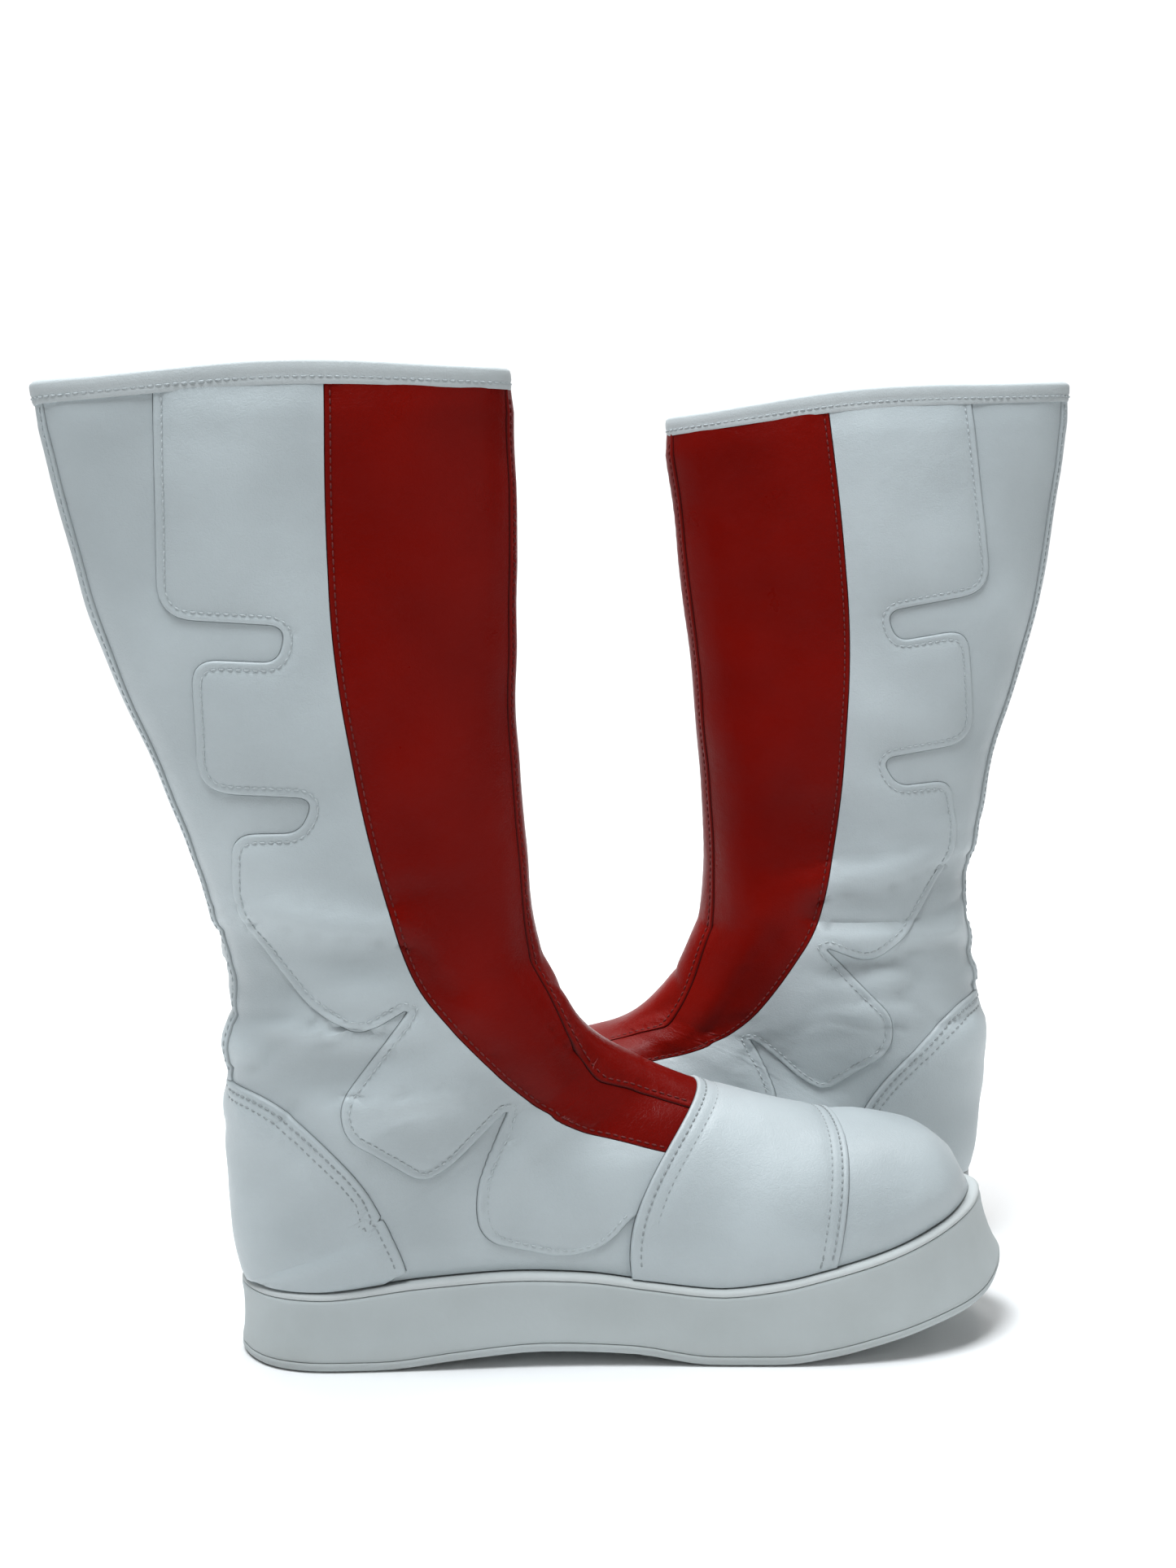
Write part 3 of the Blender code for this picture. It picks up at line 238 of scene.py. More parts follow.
# ---------------------------------------------------- outlines on the last
def on_side(x, z, side=1):
    """The (s, q) of a point that the side view shows at x, z."""
    def beyond(s):
        (x0, z0), (x1, z1) = front(s), back(s)
        return (x1 - x0) * (z - z0) - (z1 - z0) * (x - x0)
    low, high = 0.0, 2.99
    for _ in range(40):
        middle = (low + high) / 2
        if beyond(middle) > 0:
            low = middle
        else:
            high = middle
    s = (low + high) / 2
    (x0, z0), (x1, z1) = front(s), back(s)
    share = ((x - x0) * (x1 - x0) + (z - z0) * (z1 - z0)) / ((x1 - x0) ** 2 + (z1 - z0) ** 2)
    share = min(max(share, 0.0), 1.0)
    low, high = 0.0, 1.0
    for _ in range(30):
        middle = (low + high) / 2
        if depth_share(s, side * middle) < share:
            low = middle
        else:
            high = middle
    return s, side * (low + high) / 2


def rounded(corners, steps=2):
    """A polyline with its corners rounded: each corner is (x, z, radius)."""
    points = [Vector(corners[0][:2])]
    for before, corner, after in zip(corners, corners[1:], corners[2:]):
        at = Vector(corner[:2])
        come, go = Vector(before[:2]) - at, Vector(after[:2]) - at
        reach = min(corner[2], 0.48 * come.length, 0.48 * go.length)
        start, end = at + come.normalized() * reach, at + go.normalized() * reach
        if reach < 0.1:
            points.append(at)
            continue
        for k in range(steps + 1):
            t = k / steps
            points.append(start * (1 - t) ** 2 + at * 2 * t * (1 - t) + end * t * t)
    points.append(Vector(corners[-1][:2]))
    return [(p.x, p.y) for p in points]


# Edges of the panels in the side view: x from the heel, z above the ground,
# and the radius of each corner.
RED_EDGE = [(33, 390, 0), (32.5, 330, 30), (34, 286, 25), (37, 259, 25), (46.4, 207, 30),
            (58, 165.5, 20), (65, 148, 12), (82, 127, 15), (99, 110, 12), (113.5, 97.4, 12),
            (128, 89, 10), (140, 85.5, 10), (158, 80.6, 10), (180, 76, 0)]
ZIGZAG_LOW = [(35.5, 107, 12), (37, 93, 10), (66, 73.5, 12), (78, 80, 8), (100, 101, 4),
              (86, 70, 10), (88, 50, 14), (120, 42.5, 16), (137, 46.5, 12), (149, 60, 8),
              (175, 70, 0)]
ZIGZAG = [(-29, 390, 0), (-29, 289, 14), (18, 286, 7), (15, 272.5, 6), (-16.5, 274, 10),
          (-15, 224, 14), (27.5, 222, 7), (22, 209, 6), (-2.3, 208.5, 8), (-2.3, 180, 12),
          (24, 143, 10), (43, 132, 8), (62, 142.5, 4)] + ZIGZAG_LOW
HEEL_EDGE = [(-12, 112, 0), (10, 107, 10), (27.4, 92.7, 14), (42, 76.4, 14), (52, 58.7, 14),
             (60, 40.6, 8), (62, 25, 0)]
ZIP_END = (44.5, 113.0)      # where the two medial panels meet under the zip
CAP_SEAM = 2.715             # station of the toe cap's back edge
LINING_SEAM = 1.42           # station where the two linings meet
strip_half = Track([(0, 0.07), (0.6, 0.09), (1, 0.11), (1.6, 0.15), (2, 0.18), (2.45, 0.26)])
stay_half = Track([(0, 0.085), (0.5, 0.08), (1, 0.065), (1.5, 0.06)])


def vamp_seam(q):
    """Station of the vamp's back edge, which leans forward over the ridge."""
    return 2.385 + 0.1 * q * q


def subdivide(points, step=1.2):
    """A side-view line with points at most a step apart."""
    result = [points[0]]
    for (x0, z0), (x1, z1) in zip(points, points[1:]):
        count = max(1, ceil(hypot(x1 - x0, z1 - z0) / step))
        result += [(x0 + (x1 - x0) * k / count, z0 + (z1 - z0) * k / count)
                   for k in range(1, count + 1)]
    return result


def side_line(corners):
    return [on_side(x, z) for x, z in subdivide(rounded(corners, 8))]


def cut_line(line, kept):
    """The stretch of a line where kept(s, q) holds, with its ends on the limit."""
    result = []
    for a, b in zip(line, line[1:]):
        if kept(*a) and not result:
            result.append(a)
        if kept(*a) == kept(*b):
            if kept(*b):
                result.append(b)
            continue
        low, high = (a, b) if kept(*a) else (b, a)
        for _ in range(30):
            middle = ((low[0] + high[0]) / 2, (low[1] + high[1]) / 2)
            low, high = (middle, high) if kept(*middle) else (low, middle)
        result.append(low)
        if kept(*b):
            result.append(b)
    return result


def above_vamp(s, q):
    return s < vamp_seam(q)


def run(start, end, steps=1, shape=lambda s, q: (s, q)):
    """Points from one (s, q) to another, each passed through shape."""
    points = []
    for k in range(steps + 1):
        t = k / steps
        points.append(shape(start[0] + (end[0] - start[0]) * t,
                            start[1] + (end[1] - start[1]) * t))
    return points


def along_vamp(q0, q1, steps=6):
    return run((0, q0), (0, q1), steps, lambda s, q: (vamp_seam(q), q))


def mirror_line(line):
    return [(s, -q) for s, q in line]


def strip_edge(side):
    low = vamp_seam(strip_half(2.39))
    return run((0, 0), (low, 0), 24, lambda s, q: (s, side * strip_half(s)))


def stay_edge(end):
    return run((0, 0), (end, 0), 12, lambda s, q: (s, 1 - stay_half(s)))


def zip_side(t, across):
    """Side-view point at share t down the zip, across as a share of the slot."""
    drop = RIM_DROP * (RIM_FRONT - ZIP_TOP[0]) / RIM_DEPTH
    top = (ZIP_TOP[0], RIM_HEIGHT - drop - 0.5)
    dx, dz = ZIP_BOTTOM[0] - top[0], ZIP_BOTTOM[1] - top[1]
    length = hypot(dx, dz)
    return (top[0] + dx * t - dz / length * ZIP_SLOT * across,
            top[1] + dz * t + dx / length * ZIP_SLOT * across)


def zip_skin(t):
    """The (s, q) at share t down the middle of the zip."""
    return on_side(*zip_side(t, 0), -1)


margin = Track(graded([(0, 3.4), (0.1, 5.0), (0.28, 6.6), (1, 6.6)]))
flare = Track(graded([(0, 0), (0.74, 0), (0.86, 2.5), (1.0, TOE_FLARE)]))

inner_edge = Track(graded([(0, -HEEL_INSET), (0.12, 1 - HEEL_INSET), (0.25, -INNER_INSET),
                           (1, -INNER_INSET)]))

# ------------------------------------------------- looks that the CAD leaves out
RED_TOP = RED + 0.7      # the red panels lie on the white ones
RIM_CROWN = 4.5
CROWN_ZONE = (330, 52)   # where the crown starts, and over what height it grows
RIM_TAPER = 0.8          # the panels thin by this share under the binding
TAPER_END = 0.07         # station where that ends
UNDER_BINDING = 0.035    # no stitch shows above this station
SOFT_BENDS = [(1.0, 0.3, 0.09), (2.0, 0.42, 0.2)]   # station, reach, softening
RIGHT_SPOT = (-136.445, -88.141, 8.0)     # heel x, heel y, turn in degrees
LEFT_SPOT = (170.555, 56.859, 177.0)
FINE = 3.0               # spacing of the points inside a panel
EDGE_STEP = 2.5          # spacing along a panel's edge
SEAM_GAP = 0.06
THREAD = 0.36            # radius of the sewing thread
PITCH = 3.1              # from one stitch to the next
STITCH = 2.3             # length of a stitch
STITCH_SINK = 0.12       # a stitch's middle line, below the leather's face
GROOVE = 0.42            # depth of the leather along a row of stitches
GROOVE_REACH = 0.85
GROOVE_SIDE = 1.1        # from a row to the points beside it
PUFF_START = 2           # from the rim of a panel to where it starts to swell
PUFF_REACH = 9


# ------------------------------------------------- the last, many points at once
def last_points(s, q):
    """Points of the last as rows of (x, lateral, z), softened where it bends."""
    points = raw_points(s, q)
    turn = np.abs(np.where(np.abs(q) > 1, (q + 1) % 2 - 1, q))
    for centre, reach, soften in SOFT_BENDS:
        width = soften * np.clip(1 - np.abs(s - centre) / reach, 0, 1)
        width = width * (1 if centre < 2 else np.clip((0.95 - turn) / 0.2, 0, 1))
        chosen = width > 0
        if not chosen.any():
            continue
        total, weights = 0, 0
        for k in range(-4, 5):
            weight = 1 - abs(k) / 5
            total = total + weight * raw_points(s[chosen] + width[chosen] * k / 4, q[chosen])
            weights += weight
        points[chosen] = total / weights
    return points


def raw_points(s, q):
    q = np.where(np.abs(q) > 1, (q + 1) % 2 - 1, q)
    t = np.minimum(np.abs(q), 1.0)
    side = np.where(q >= 0, 1.0, -1.0)
    edge = np.where(q >= 0, feather_half[1].many(s), feather_half[-1].many(s)) * (s > 2)
    swell = side_swell.many(s)
    fullness = np.where((t < 0.5) & (s > 1), 0.9, fullness_at.many(s))
    half = edge * np.sin(pi * t / 2) ** 0.92 + swell * np.maximum(np.sin(pi * t), 0) ** fullness
    opened = np.where(edge > 0, edge / np.maximum(edge + swell, 1e-9), 0)
    share = (1 - opened) * (1 - np.cos(pi * t)) / 2 + opened * (1 - np.cos(pi * t / 2))
    x0 = front_x.many(s)
    z0 = np.where(s <= 1, RIM_HEIGHT + (ANKLE_FRONT_Z - RIM_HEIGHT) * s,
                  SOLE_THICKNESS + front_rise.many(s))
    bottom = bottom_x.many(s)
    x1 = np.where(s > 2, bottom, back_x.many(s))
    rim_back = RIM_HEIGHT - RIM_DROP
    heel_z = SOLE_THICKNESS + feather_rise(0) + FEATHER_GAP
    z1 = np.where(s <= 1, rim_back + (ANKLE_BACK_Z - rim_back) * s,
                  ANKLE_BACK_Z + (heel_z - ANKLE_BACK_Z) * (s - 1))
    z1 = np.where(s > 2, SOLE_THICKNESS + feather_rise.many(bottom) + FEATHER_GAP, z1)
    return np.stack([x0 + (x1 - x0) * share, side * half, z0 + (z1 - z0) * share], axis=1)


def last_normals(s, q):
    ds, dq = 0.02, 0.03
    along = last_points(np.minimum(s + ds, TIP), q) - last_points(np.maximum(s - ds, 0), q)
    ahead, behind = q + dq, q - dq
    low = (s > 2) & (q > 1 - dq) & (q <= 1)
    high = (s > 2) & (((q > 1) & (q < 1 + dq)) | (q < dq - 1))
    around = last_points(s, np.where(low, q, ahead)) - last_points(s, np.where(high, q, behind))
    normal = np.cross(along, around)
    return normal / np.maximum(np.linalg.norm(normal, axis=1, keepdims=True), 1e-9)


def crown(points):
    """The rim rises a little at the middle of each side."""
    near = np.clip((points[:, 2] - CROWN_ZONE[0]) / CROWN_ZONE[1], 0, 1) ** 2
    across = np.clip((points[:, 0] - (RIM_FRONT - RIM_DEPTH)) / RIM_DEPTH, 0, 1)
    points[:, 2] += near * RIM_CROWN * np.sin(pi * across) ** 2
    return points


def offset_points(s, q, height):
    """Points raised from the last by a height, and their normals."""
    s, q = np.asarray(s, float), np.asarray(q, float)
    normal = last_normals(s, q)
    points = last_points(s, q) + normal * np.reshape(height, (-1, 1))
    floor = SOLE_THICKNESS + feather_rise.many(points[:, 0]) + FEATHER_GAP
    points[:, 2] = np.maximum(points[:, 2], floor)
    return crown(points), normal


def lean_many(points, degrees):
    low, high = LEAN_ZONE
    t = np.clip((points[:, 2] - low) / (high - low), 0, 1)
    angle = np.radians(degrees) * t * t * (3 - 2 * t)
    x, z = points[:, 0] - LEAN_PIVOT[0], points[:, 2] - LEAN_PIVOT[1]
    return np.stack([LEAN_PIVOT[0] + x * np.cos(angle) + z * np.sin(angle), points[:, 1],
                     LEAN_PIVOT[1] + z * np.cos(angle) - x * np.sin(angle)], axis=1)


# ---------------------------------------------------------------- the two boots
class Boot:
    def __init__(self, name, place, degrees, hand, seed):
        self.name, self.degrees, self.hand, self.seed = name, degrees, hand, seed
        turn = Matrix.Rotation(radians(place[2]), 4, "Z")
        self.place = Matrix.Translation(Vector((place[0], place[1], 0))) @ turn

    def locate(self, points):
        points = lean_many(np.array(points, float).reshape(-1, 3), self.degrees)
        points[:, 1] *= self.hand
        turn = np.array(self.place)
        return (points @ turn[:3, :3].T + turn[:3, 3]) * MM


BOOTS = [Boot("right", RIGHT_SPOT, 0.0, -1, 3.0), Boot("left", LEFT_SPOT, LEFT_LEAN, 1, 41.0)]


LONG_WAVE = (58, 2.6)            # length and height
SHORT_WAVE = (26, 1.3)
ANKLE_FOLDS = (138, 42)          # height, reach
INSTEP_FOLDS = (112, 118, 34)    # x, z, reach
ANKLE_FRONT_LIMIT = (92, 30)     # the ankle's folds end before the front ridge
ZIP_CALM = (5, 16)               # the leather lies flat beside the zip
DEEPEST = 2.2                    # how far the leather can sink in


def wrinkle(points, seed):
    """How far worn leather stands out at each point: soft waves and a few folds."""
    shift = Vector((seed, 2 * seed, 0))
    head, foot = np.array(zip_side(0, 0)), np.array(zip_side(1, 0))
    along = (foot - head) / np.linalg.norm(foot - head)
    from_zip = points[:, [0, 2]] - head
    reach = np.clip(from_zip @ along, 0, np.linalg.norm(foot - head))
    from_zip = np.linalg.norm(from_zip - reach[:, None] * along, axis=1)
    calm = np.where(points[:, 1] < 0, np.clip((from_zip - ZIP_CALM[0]) / ZIP_CALM[1], 0, 1), 1)
    out = np.zeros(len(points))
    for i, (x, y, z) in enumerate(points):
        v = Vector((x, y * 0.7 + 60, z)) + shift * 7
        wave = (noise.noise(v / LONG_WAVE[0]) * LONG_WAVE[1]
                + noise.noise(v / SHORT_WAVE[0] + shift) * SHORT_WAVE[1])
        bend = np.exp(-((z - ANKLE_FOLDS[0]) / ANKLE_FOLDS[1]) ** 2)
        bend *= min(1.0, max(0.0, (ANKLE_FRONT_LIMIT[0] - x) / ANKLE_FRONT_LIMIT[1]))
        at_x, at_z, far = INSTEP_FOLDS
        instep = np.exp(-(((x - at_x) / far) ** 2 + ((z - at_z) / far) ** 2))
        fold = noise.noise(Vector((x / 46, y / 60, z / 13)) + shift)
        slant = noise.noise(Vector(((x + 0.9 * z) / 15, y / 50, (z - x) / 60)) + shift)
        crease = max(0.0, 1 - 5 * abs(fold)) ** 2
        sharp = max(0.0, 1 - 5.5 * abs(slant)) ** 2
        out[i] = wave - bend * (1.9 * crease - 4.5 * fold) - instep * (1.6 * sharp - 2.2 * slant)
    out *= 1 - 0.4 * np.clip((points[:, 2] - 190) / 60, 0, 1)
    out = np.where(out < 0, DEEPEST * np.tanh(out / DEEPEST), out)
    edge = np.clip((points[:, 2] - SOLE_THICKNESS - 6) / 14, 0, 1)
    rim = np.clip((RIM_HEIGHT - 6 - points[:, 2]) / 12, 0, 1)
    return out * edge * rim * calm


# -------------------------------------------------------------------- meshes
def make_object(name, verts, faces, material, body, nodes=(), tone=None, smooth=40,
                hollow=None):
    mesh = bpy.data.meshes.new(name)
    mesh.from_pydata([tuple(v) for v in verts], [], faces)
    tidy = bmesh.new()
    tidy.from_mesh(mesh)
    bmesh.ops.holes_fill(tidy, edges=[e for e in tidy.edges if e.is_boundary], sides=8)
    bmesh.ops.recalc_face_normals(tidy, faces=tidy.faces)
    tidy.to_mesh(mesh)
    tidy.free()
    mesh.shade_smooth()
    mesh.set_sharp_from_angle(angle=radians(smooth))
    # tone darkens a raised edge towards its cut-edge colour, partly painted seam shade; hollow is
    # painted shade in the wrinkles' valleys
    for title, values in (("tone", tone), ("hollow", hollow)):
        if values is not None:
            layer = mesh.attributes.new(title, "FLOAT", "POINT")
            layer.data.foreach_set("value", np.asarray(values, np.float32))
    obj = bpy.data.objects.new(name, mesh)
    bpy.context.scene.collection.objects.link(obj)
    mesh.materials.append(material)
    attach(obj, body)
    if nodes:
        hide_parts(*nodes)
    return obj


def ladder(first, rungs, count):
    """Quads that join rings of count points, from one first point on."""
    faces = []
    for start in range(first, first + rungs * count, count):
        for k in range(count):
            a, b = start + k, start + (k + 1) % count
            faces.append((a, b, b + count, a + count))
    return faces


def lids(first, rungs, count):
    """The two end faces of such a ladder."""
    last = first + rungs * count
    return [tuple(range(first + count - 1, first - 1, -1)), tuple(range(last, last + count))]


# ------------------------------------------------------------------ panels
station_place = Track([(0, 0), (1, 226), (2, 306), (3, 566)])


def spread_many(s, q):
    close = np.where(s > 2, 0.6 * (s - 2), 0)
    turn = np.where(q <= 1, q * (1 - close), 2 - (2 - q) * (1 - close))
    return np.stack([station_place.many(s), 130 * turn], axis=1)


def dense(points, step=EDGE_STEP):
    """A line in (s, q) with its stretches divided to a step on the last."""
    points = np.array(points, float)
    places = last_points(points[:, 0], points[:, 1])
    result = []
    for i in range(len(points) - 1):
        length = np.linalg.norm(places[i + 1] - places[i])
        if length < 0.05:
            continue
        count = max(1, ceil(length / step))
        for k in range(count):
            result.append(points[i] + (points[i + 1] - points[i]) * k / count)
    result.append(points[-1])
    return np.array(result)


def matched(loop):
    """The outline moved so that it keeps its place where the bends are softened."""
    loop = np.array(loop, float)
    goal = raw_points(loop[:, 0], loop[:, 1])
    turn = np.abs(np.where(np.abs(loop[:, 1]) > 1, (loop[:, 1] + 1) % 2 - 1, loop[:, 1]))
    free = (loop[:, 0] > 0.6) & (loop[:, 0] < 2.5) & ((loop[:, 0] < 1.6) | (turn < 0.985))
    for _ in range(14):
        s, q = loop[:, 0], loop[:, 1]
        along = (last_points(s + 0.004, q) - last_points(s - 0.004, q)) / 0.008
        around = (last_points(s, q + 0.002) - last_points(s, q - 0.002)) / 0.004
        miss = goal - last_points(s, q)
        aa, ab, bb = [np.sum(m * n, axis=1) for m, n in ((along, along), (along, around),
                                                         (around, around))]
        am, bm = np.sum(along * miss, axis=1), np.sum(around * miss, axis=1)
        det = np.maximum(aa * bb - ab * ab, 1e-6)
        loop[:, 0] += free * np.clip((bb * am - ab * bm) / det, -0.05, 0.05)
        loop[:, 1] += free * np.clip((aa * bm - ab * am) / det, -0.02, 0.02)
    return loop


def inward(loop, gaps):
    """A closed line moved inward by a distance at each point."""
    s, q = loop[:, 0], loop[:, 1]
    flat = spread_many(s, q)
    following = np.roll(flat, -1, axis=0)
    turn = np.sign(np.sum(flat[:, 0] * following[:, 1] - following[:, 0] * flat[:, 1]))
    low = np.maximum(s - 0.005, 0)
    scale_s = np.linalg.norm(last_points(low + 0.01, q) - last_points(low, q), axis=1) / 0.01
    near = np.where(((np.abs(q) > 0.5) & (q > 0)) | (q > 1.02), q - 0.01, q)
    scale_q = np.linalg.norm(last_points(s, near + 0.01) - last_points(s, near), axis=1) / 0.01
    scale = np.maximum(np.stack([scale_s, scale_q], axis=1), 20)
    come = (loop - np.roll(loop, 1, axis=0)) * scale
    go = (np.roll(loop, -1, axis=0) - loop) * scale
    come /= np.maximum(np.linalg.norm(come, axis=1, keepdims=True), 1e-9)
    go /= np.maximum(np.linalg.norm(go, axis=1, keepdims=True), 1e-9)
    both = come + go
    both = np.where(np.linalg.norm(both, axis=1, keepdims=True) < 0.2, go, both)
    both /= np.maximum(np.linalg.norm(both, axis=1, keepdims=True), 1e-9)
    across = np.stack([-both[:, 1], both[:, 0]], axis=1)
    half_turn = np.sqrt(np.maximum((1 + np.sum(come * go, axis=1)) / 2, 0.36))
    moved = loop + across * turn * np.reshape(gaps, (-1, 1)) / half_turn[:, None] / scale
    moved[:, 0] = np.clip(moved[:, 0], 0, TIP)
    return moved


def inside_many(points, loop):
    hit = np.zeros(len(points), bool)
    for a, b in zip(loop, np.roll(loop, -1, axis=0)):
        if a[1] == b[1]:
            continue
        crosses = (a[1] > points[:, 1]) != (b[1] > points[:, 1])
        hit ^= crosses & (points[:, 0] < a[0] + (points[:, 1] - a[1]) * (b[0] - a[0])
                          / (b[1] - a[1]))
    return hit


def lattice():
    rows = np.concatenate([np.linspace(0, 1, 76)[1:-1], np.linspace(1, 2, 34)[:-1],
                           np.linspace(2, 2.96, 74)])
    turns = np.linspace(-1, 2, 3 * 58 + 1)
    s, q = np.meshgrid(rows, turns, indexing="ij")
    shift = (np.arange(len(rows)) % 2)[:, None] * 0.5 / 58
    return np.stack([s.ravel(), (q + shift).ravel()], axis=1)


LATTICE = lattice()
LATTICE_FLAT = spread_many(LATTICE[:, 0], LATTICE[:, 1])
LATTICE_PLACE = last_points(LATTICE[:, 0], LATTICE[:, 1])
threads = {"white": [], "grey": [], "red": []}


def tree_of(places):
    tree = KDTree(len(places))
    for i, p in enumerate(places):
        tree.insert(Vector(p), i)
    tree.balance()
    return tree


def outline(edges):
    """A panel's outline, with the edge's radius and rows of stitches at each point."""
    loop, radius, rows = [], [], []
    for line, round_edge, stitched in edges:
        piece = dense(line)[:-1] if len(line) > 1 else np.array(line, float)
        loop += list(piece)
        radius += [round_edge] * len(piece)
        rows += [stitched] * len(piece)
    loop, radius = matched(loop), np.array(radius)
    places = last_points(loop[:, 0], loop[:, 1])
    keep = np.linalg.norm(places - np.roll(places, 1, axis=0), axis=1) > 0.4
    loop, radius = loop[keep], radius[keep]
    for _ in range(2):
        radius = (np.roll(radius, 1) + radius + np.roll(radius, -1)) / 3
    return loop, radius, [rows[i] for i in np.nonzero(keep)[0]]


def stitch_rows(loop, stitched):
    """Each row's line and where it is sewn, and the points on and beside the rows."""
    rows, beside = [], []
    for distance in sorted({d for item in stitched for d in item}):
        here = np.array([distance in item for item in stitched])
        rows.append((inward(loop, np.full(len(loop), SEAM_GAP + distance)), here))
        for side in (-GROOVE_SIDE, 0, GROOVE_SIDE):
            beside.append(inward(loop, np.full(len(loop), SEAM_GAP + distance + side))[here])
    return rows, beside


def thinned(points, flat, rim_tree):
    """Those of the points that are in a panel, clear of its rim and of each other."""
    points = points[inside_many(spread_many(points[:, 0], points[:, 1]), flat)]
    spots = last_points(points[:, 0], points[:, 1])
    tree, used = tree_of(spots), set()
    for i, spot in enumerate(spots):
        near = tree.find_range(Vector(spot), 0.7)
        if rim_tree.find(Vector(spot))[2] >= 0.55 and not any(j in used for _, j, _ in near):
            used.add(i)
    good = sorted(used)
    return list(points[good]), tree_of(spots[good])


def triangulate(kept, rim):
    """Triangles over points of which the first are the rim, in order."""
    flat = spread_many(kept[:, 0], kept[:, 1])
    made = delaunay_2d_cdt([Vector(p) for p in flat], [], [list(range(rim))], 1, 1e-6)

    def nearest(spot):
        return int(np.argmin(np.sum((flat - np.array(spot)) ** 2, axis=1)))
    source = [group[0] if group else nearest(spot) for spot, group in zip(made[0], made[3])]
    triangles = [[source[v] for v in face] for face in made[2]]
    return [face for face in triangles if len(set(face)) == 3]


def tapered(points, top, base, sink=0.0):
    """The height of a panel's face, which falls towards the rim of the boot."""
    height = (top(points) if callable(top) else np.full(len(points), float(top))) - sink
    return base + (height - base) * (1 - RIM_TAPER * np.clip(1 - points[:, 0] / TAPER_END, 0, 1))


def sunk(spots, rim_tree, outer, stitched, puff):
    """How far a panel sinks in at its stitches, less its puff away from the rim."""
    depth = [-puff * min(1.0, max(0.0, (rim_tree.find(Vector(spot))[2] - PUFF_START) / PUFF_REACH))
             for spot in spots]
    sewn = [i for i, item in enumerate(stitched) if item]
    if sewn:
        edge_tree = tree_of(last_points(outer[sewn, 0], outer[sewn, 1]))
        for i, spot in enumerate(spots):
            _, nearest, distance = edge_tree.find(Vector(spot))
            if distance <= 14:
                for row in stitched[sewn[nearest]]:
                    depth[i] += GROOVE * np.exp(-((distance - row) / GROOVE_REACH) ** 2)
    return np.array(depth)


def panel(name, edges, top, material, base=0.1, thread="white", puff=0.7, fine=FINE):
    """A leather panel on the last.

    edges are (line, radius, rows): a line in (s, q), the radius that rounds the
    panel's edge there, and the distances of its rows of stitches.
    """
    loop, radius, stitched = outline(edges)
    outer = inward(loop, np.full(len(loop), SEAM_GAP))
    inner = inward(loop, SEAM_GAP + radius)
    flat = spread_many(inner[:, 0], inner[:, 1])
    rim_tree = tree_of(last_points(inner[:, 0], inner[:, 1]))
    rows, beside = stitch_rows(loop, stitched)
    kept, row_tree = list(inner), None
    if beside:
        extra, row_tree = thinned(np.concatenate(beside), flat, rim_tree)
        kept += extra
    for i in np.nonzero(inside_many(LATTICE_FLAT, flat))[0]:
        spot = Vector(LATTICE_PLACE[i])
        if rim_tree.find(spot)[2] < 0.6 * fine or (fine > FINE and i % 2):
            continue
        if row_tree and row_tree.find(spot)[2] < 0.5 * fine:
            continue
        kept.append(LATTICE[i])
    kept = np.array(kept)
    count, rim = len(kept), len(inner)
    triangles = triangulate(kept, rim)
    tops = tapered(kept, top, base)
    tops -= sunk(last_points(kept[:, 0], kept[:, 1]), rim_tree, outer, stitched, puff)

    # The face and the underside, then the rounded edge from level to level.
    sheet, sheet_normals = offset_points(kept[:, 0], kept[:, 1], tops)
    under, _ = offset_points(kept[:, 0], kept[:, 1], np.full(count, base))
    verts, normals, tone = [sheet, under], [sheet_normals, sheet_normals], [np.zeros(2 * count)]
    fall = np.minimum(radius, tops[:rim] - base - 0.1)
    levels = [(inner + (outer - inner) * sin(angle), tops[:rim] - fall * (1 - cos(angle)), share)
              for share, angle in ((k / 4, pi / 2 * k / 4) for k in range(1, 5))]
    levels.append((outer, np.full(rim, base), 1.0))
    for line, height, share in levels:
        points, normal = offset_points(line[:, 0], line[:, 1], height)
        verts.append(points)
        normals.append(normal)
        # tone grows down a raised edge towards the panel below; the leather turns it into the cut
        # edge's colour, which on the white leather is partly painted seam shade
        tone.append(np.where(radius > 0.5, share, 0.3 * share))
    faces = triangles + [[v + count for v in reversed(face)] for face in triangles]
    chain = [0] + [2 * count + k * rim for k in range(len(levels))] + [count]
    for a, b in zip(chain, chain[1:]):
        for i in range(rim):
            j = (i + 1) % rim
            faces.append((a + i, a + j, b + j, b + i))
    verts, normals, tone = np.concatenate(verts), np.concatenate(normals), np.concatenate(tone)
    # hollow is painted shade: it rises where the wrinkles sink the leather in, so the colour
    # darkens in their valleys and not on their crests
    for boot in BOOTS:
        rise = wrinkle(verts, boot.seed)
        moved = verts + normals * rise[:, None]
        make_object(boot.name + "_" + name + "_leather", boot.locate(moved), faces,
                    material, boot.name + "_boot",
                    [boot.name + "_" + name], tone, hollow=np.clip(0.5 - rise / 3.6, 0, 1))

    # The threads, as chains of short stitches.
    for line, here in rows:
        height = tapered(line, top, base, STITCH_SINK)
        start = None
        for i in range(len(line) + 1):
            if i < len(line) and here[i]:
                start = i if start is None else start
            elif start is not None:
                if i - start > 3:
                    sew(line[start:i], height[start:i], thread, flat)
                start = None


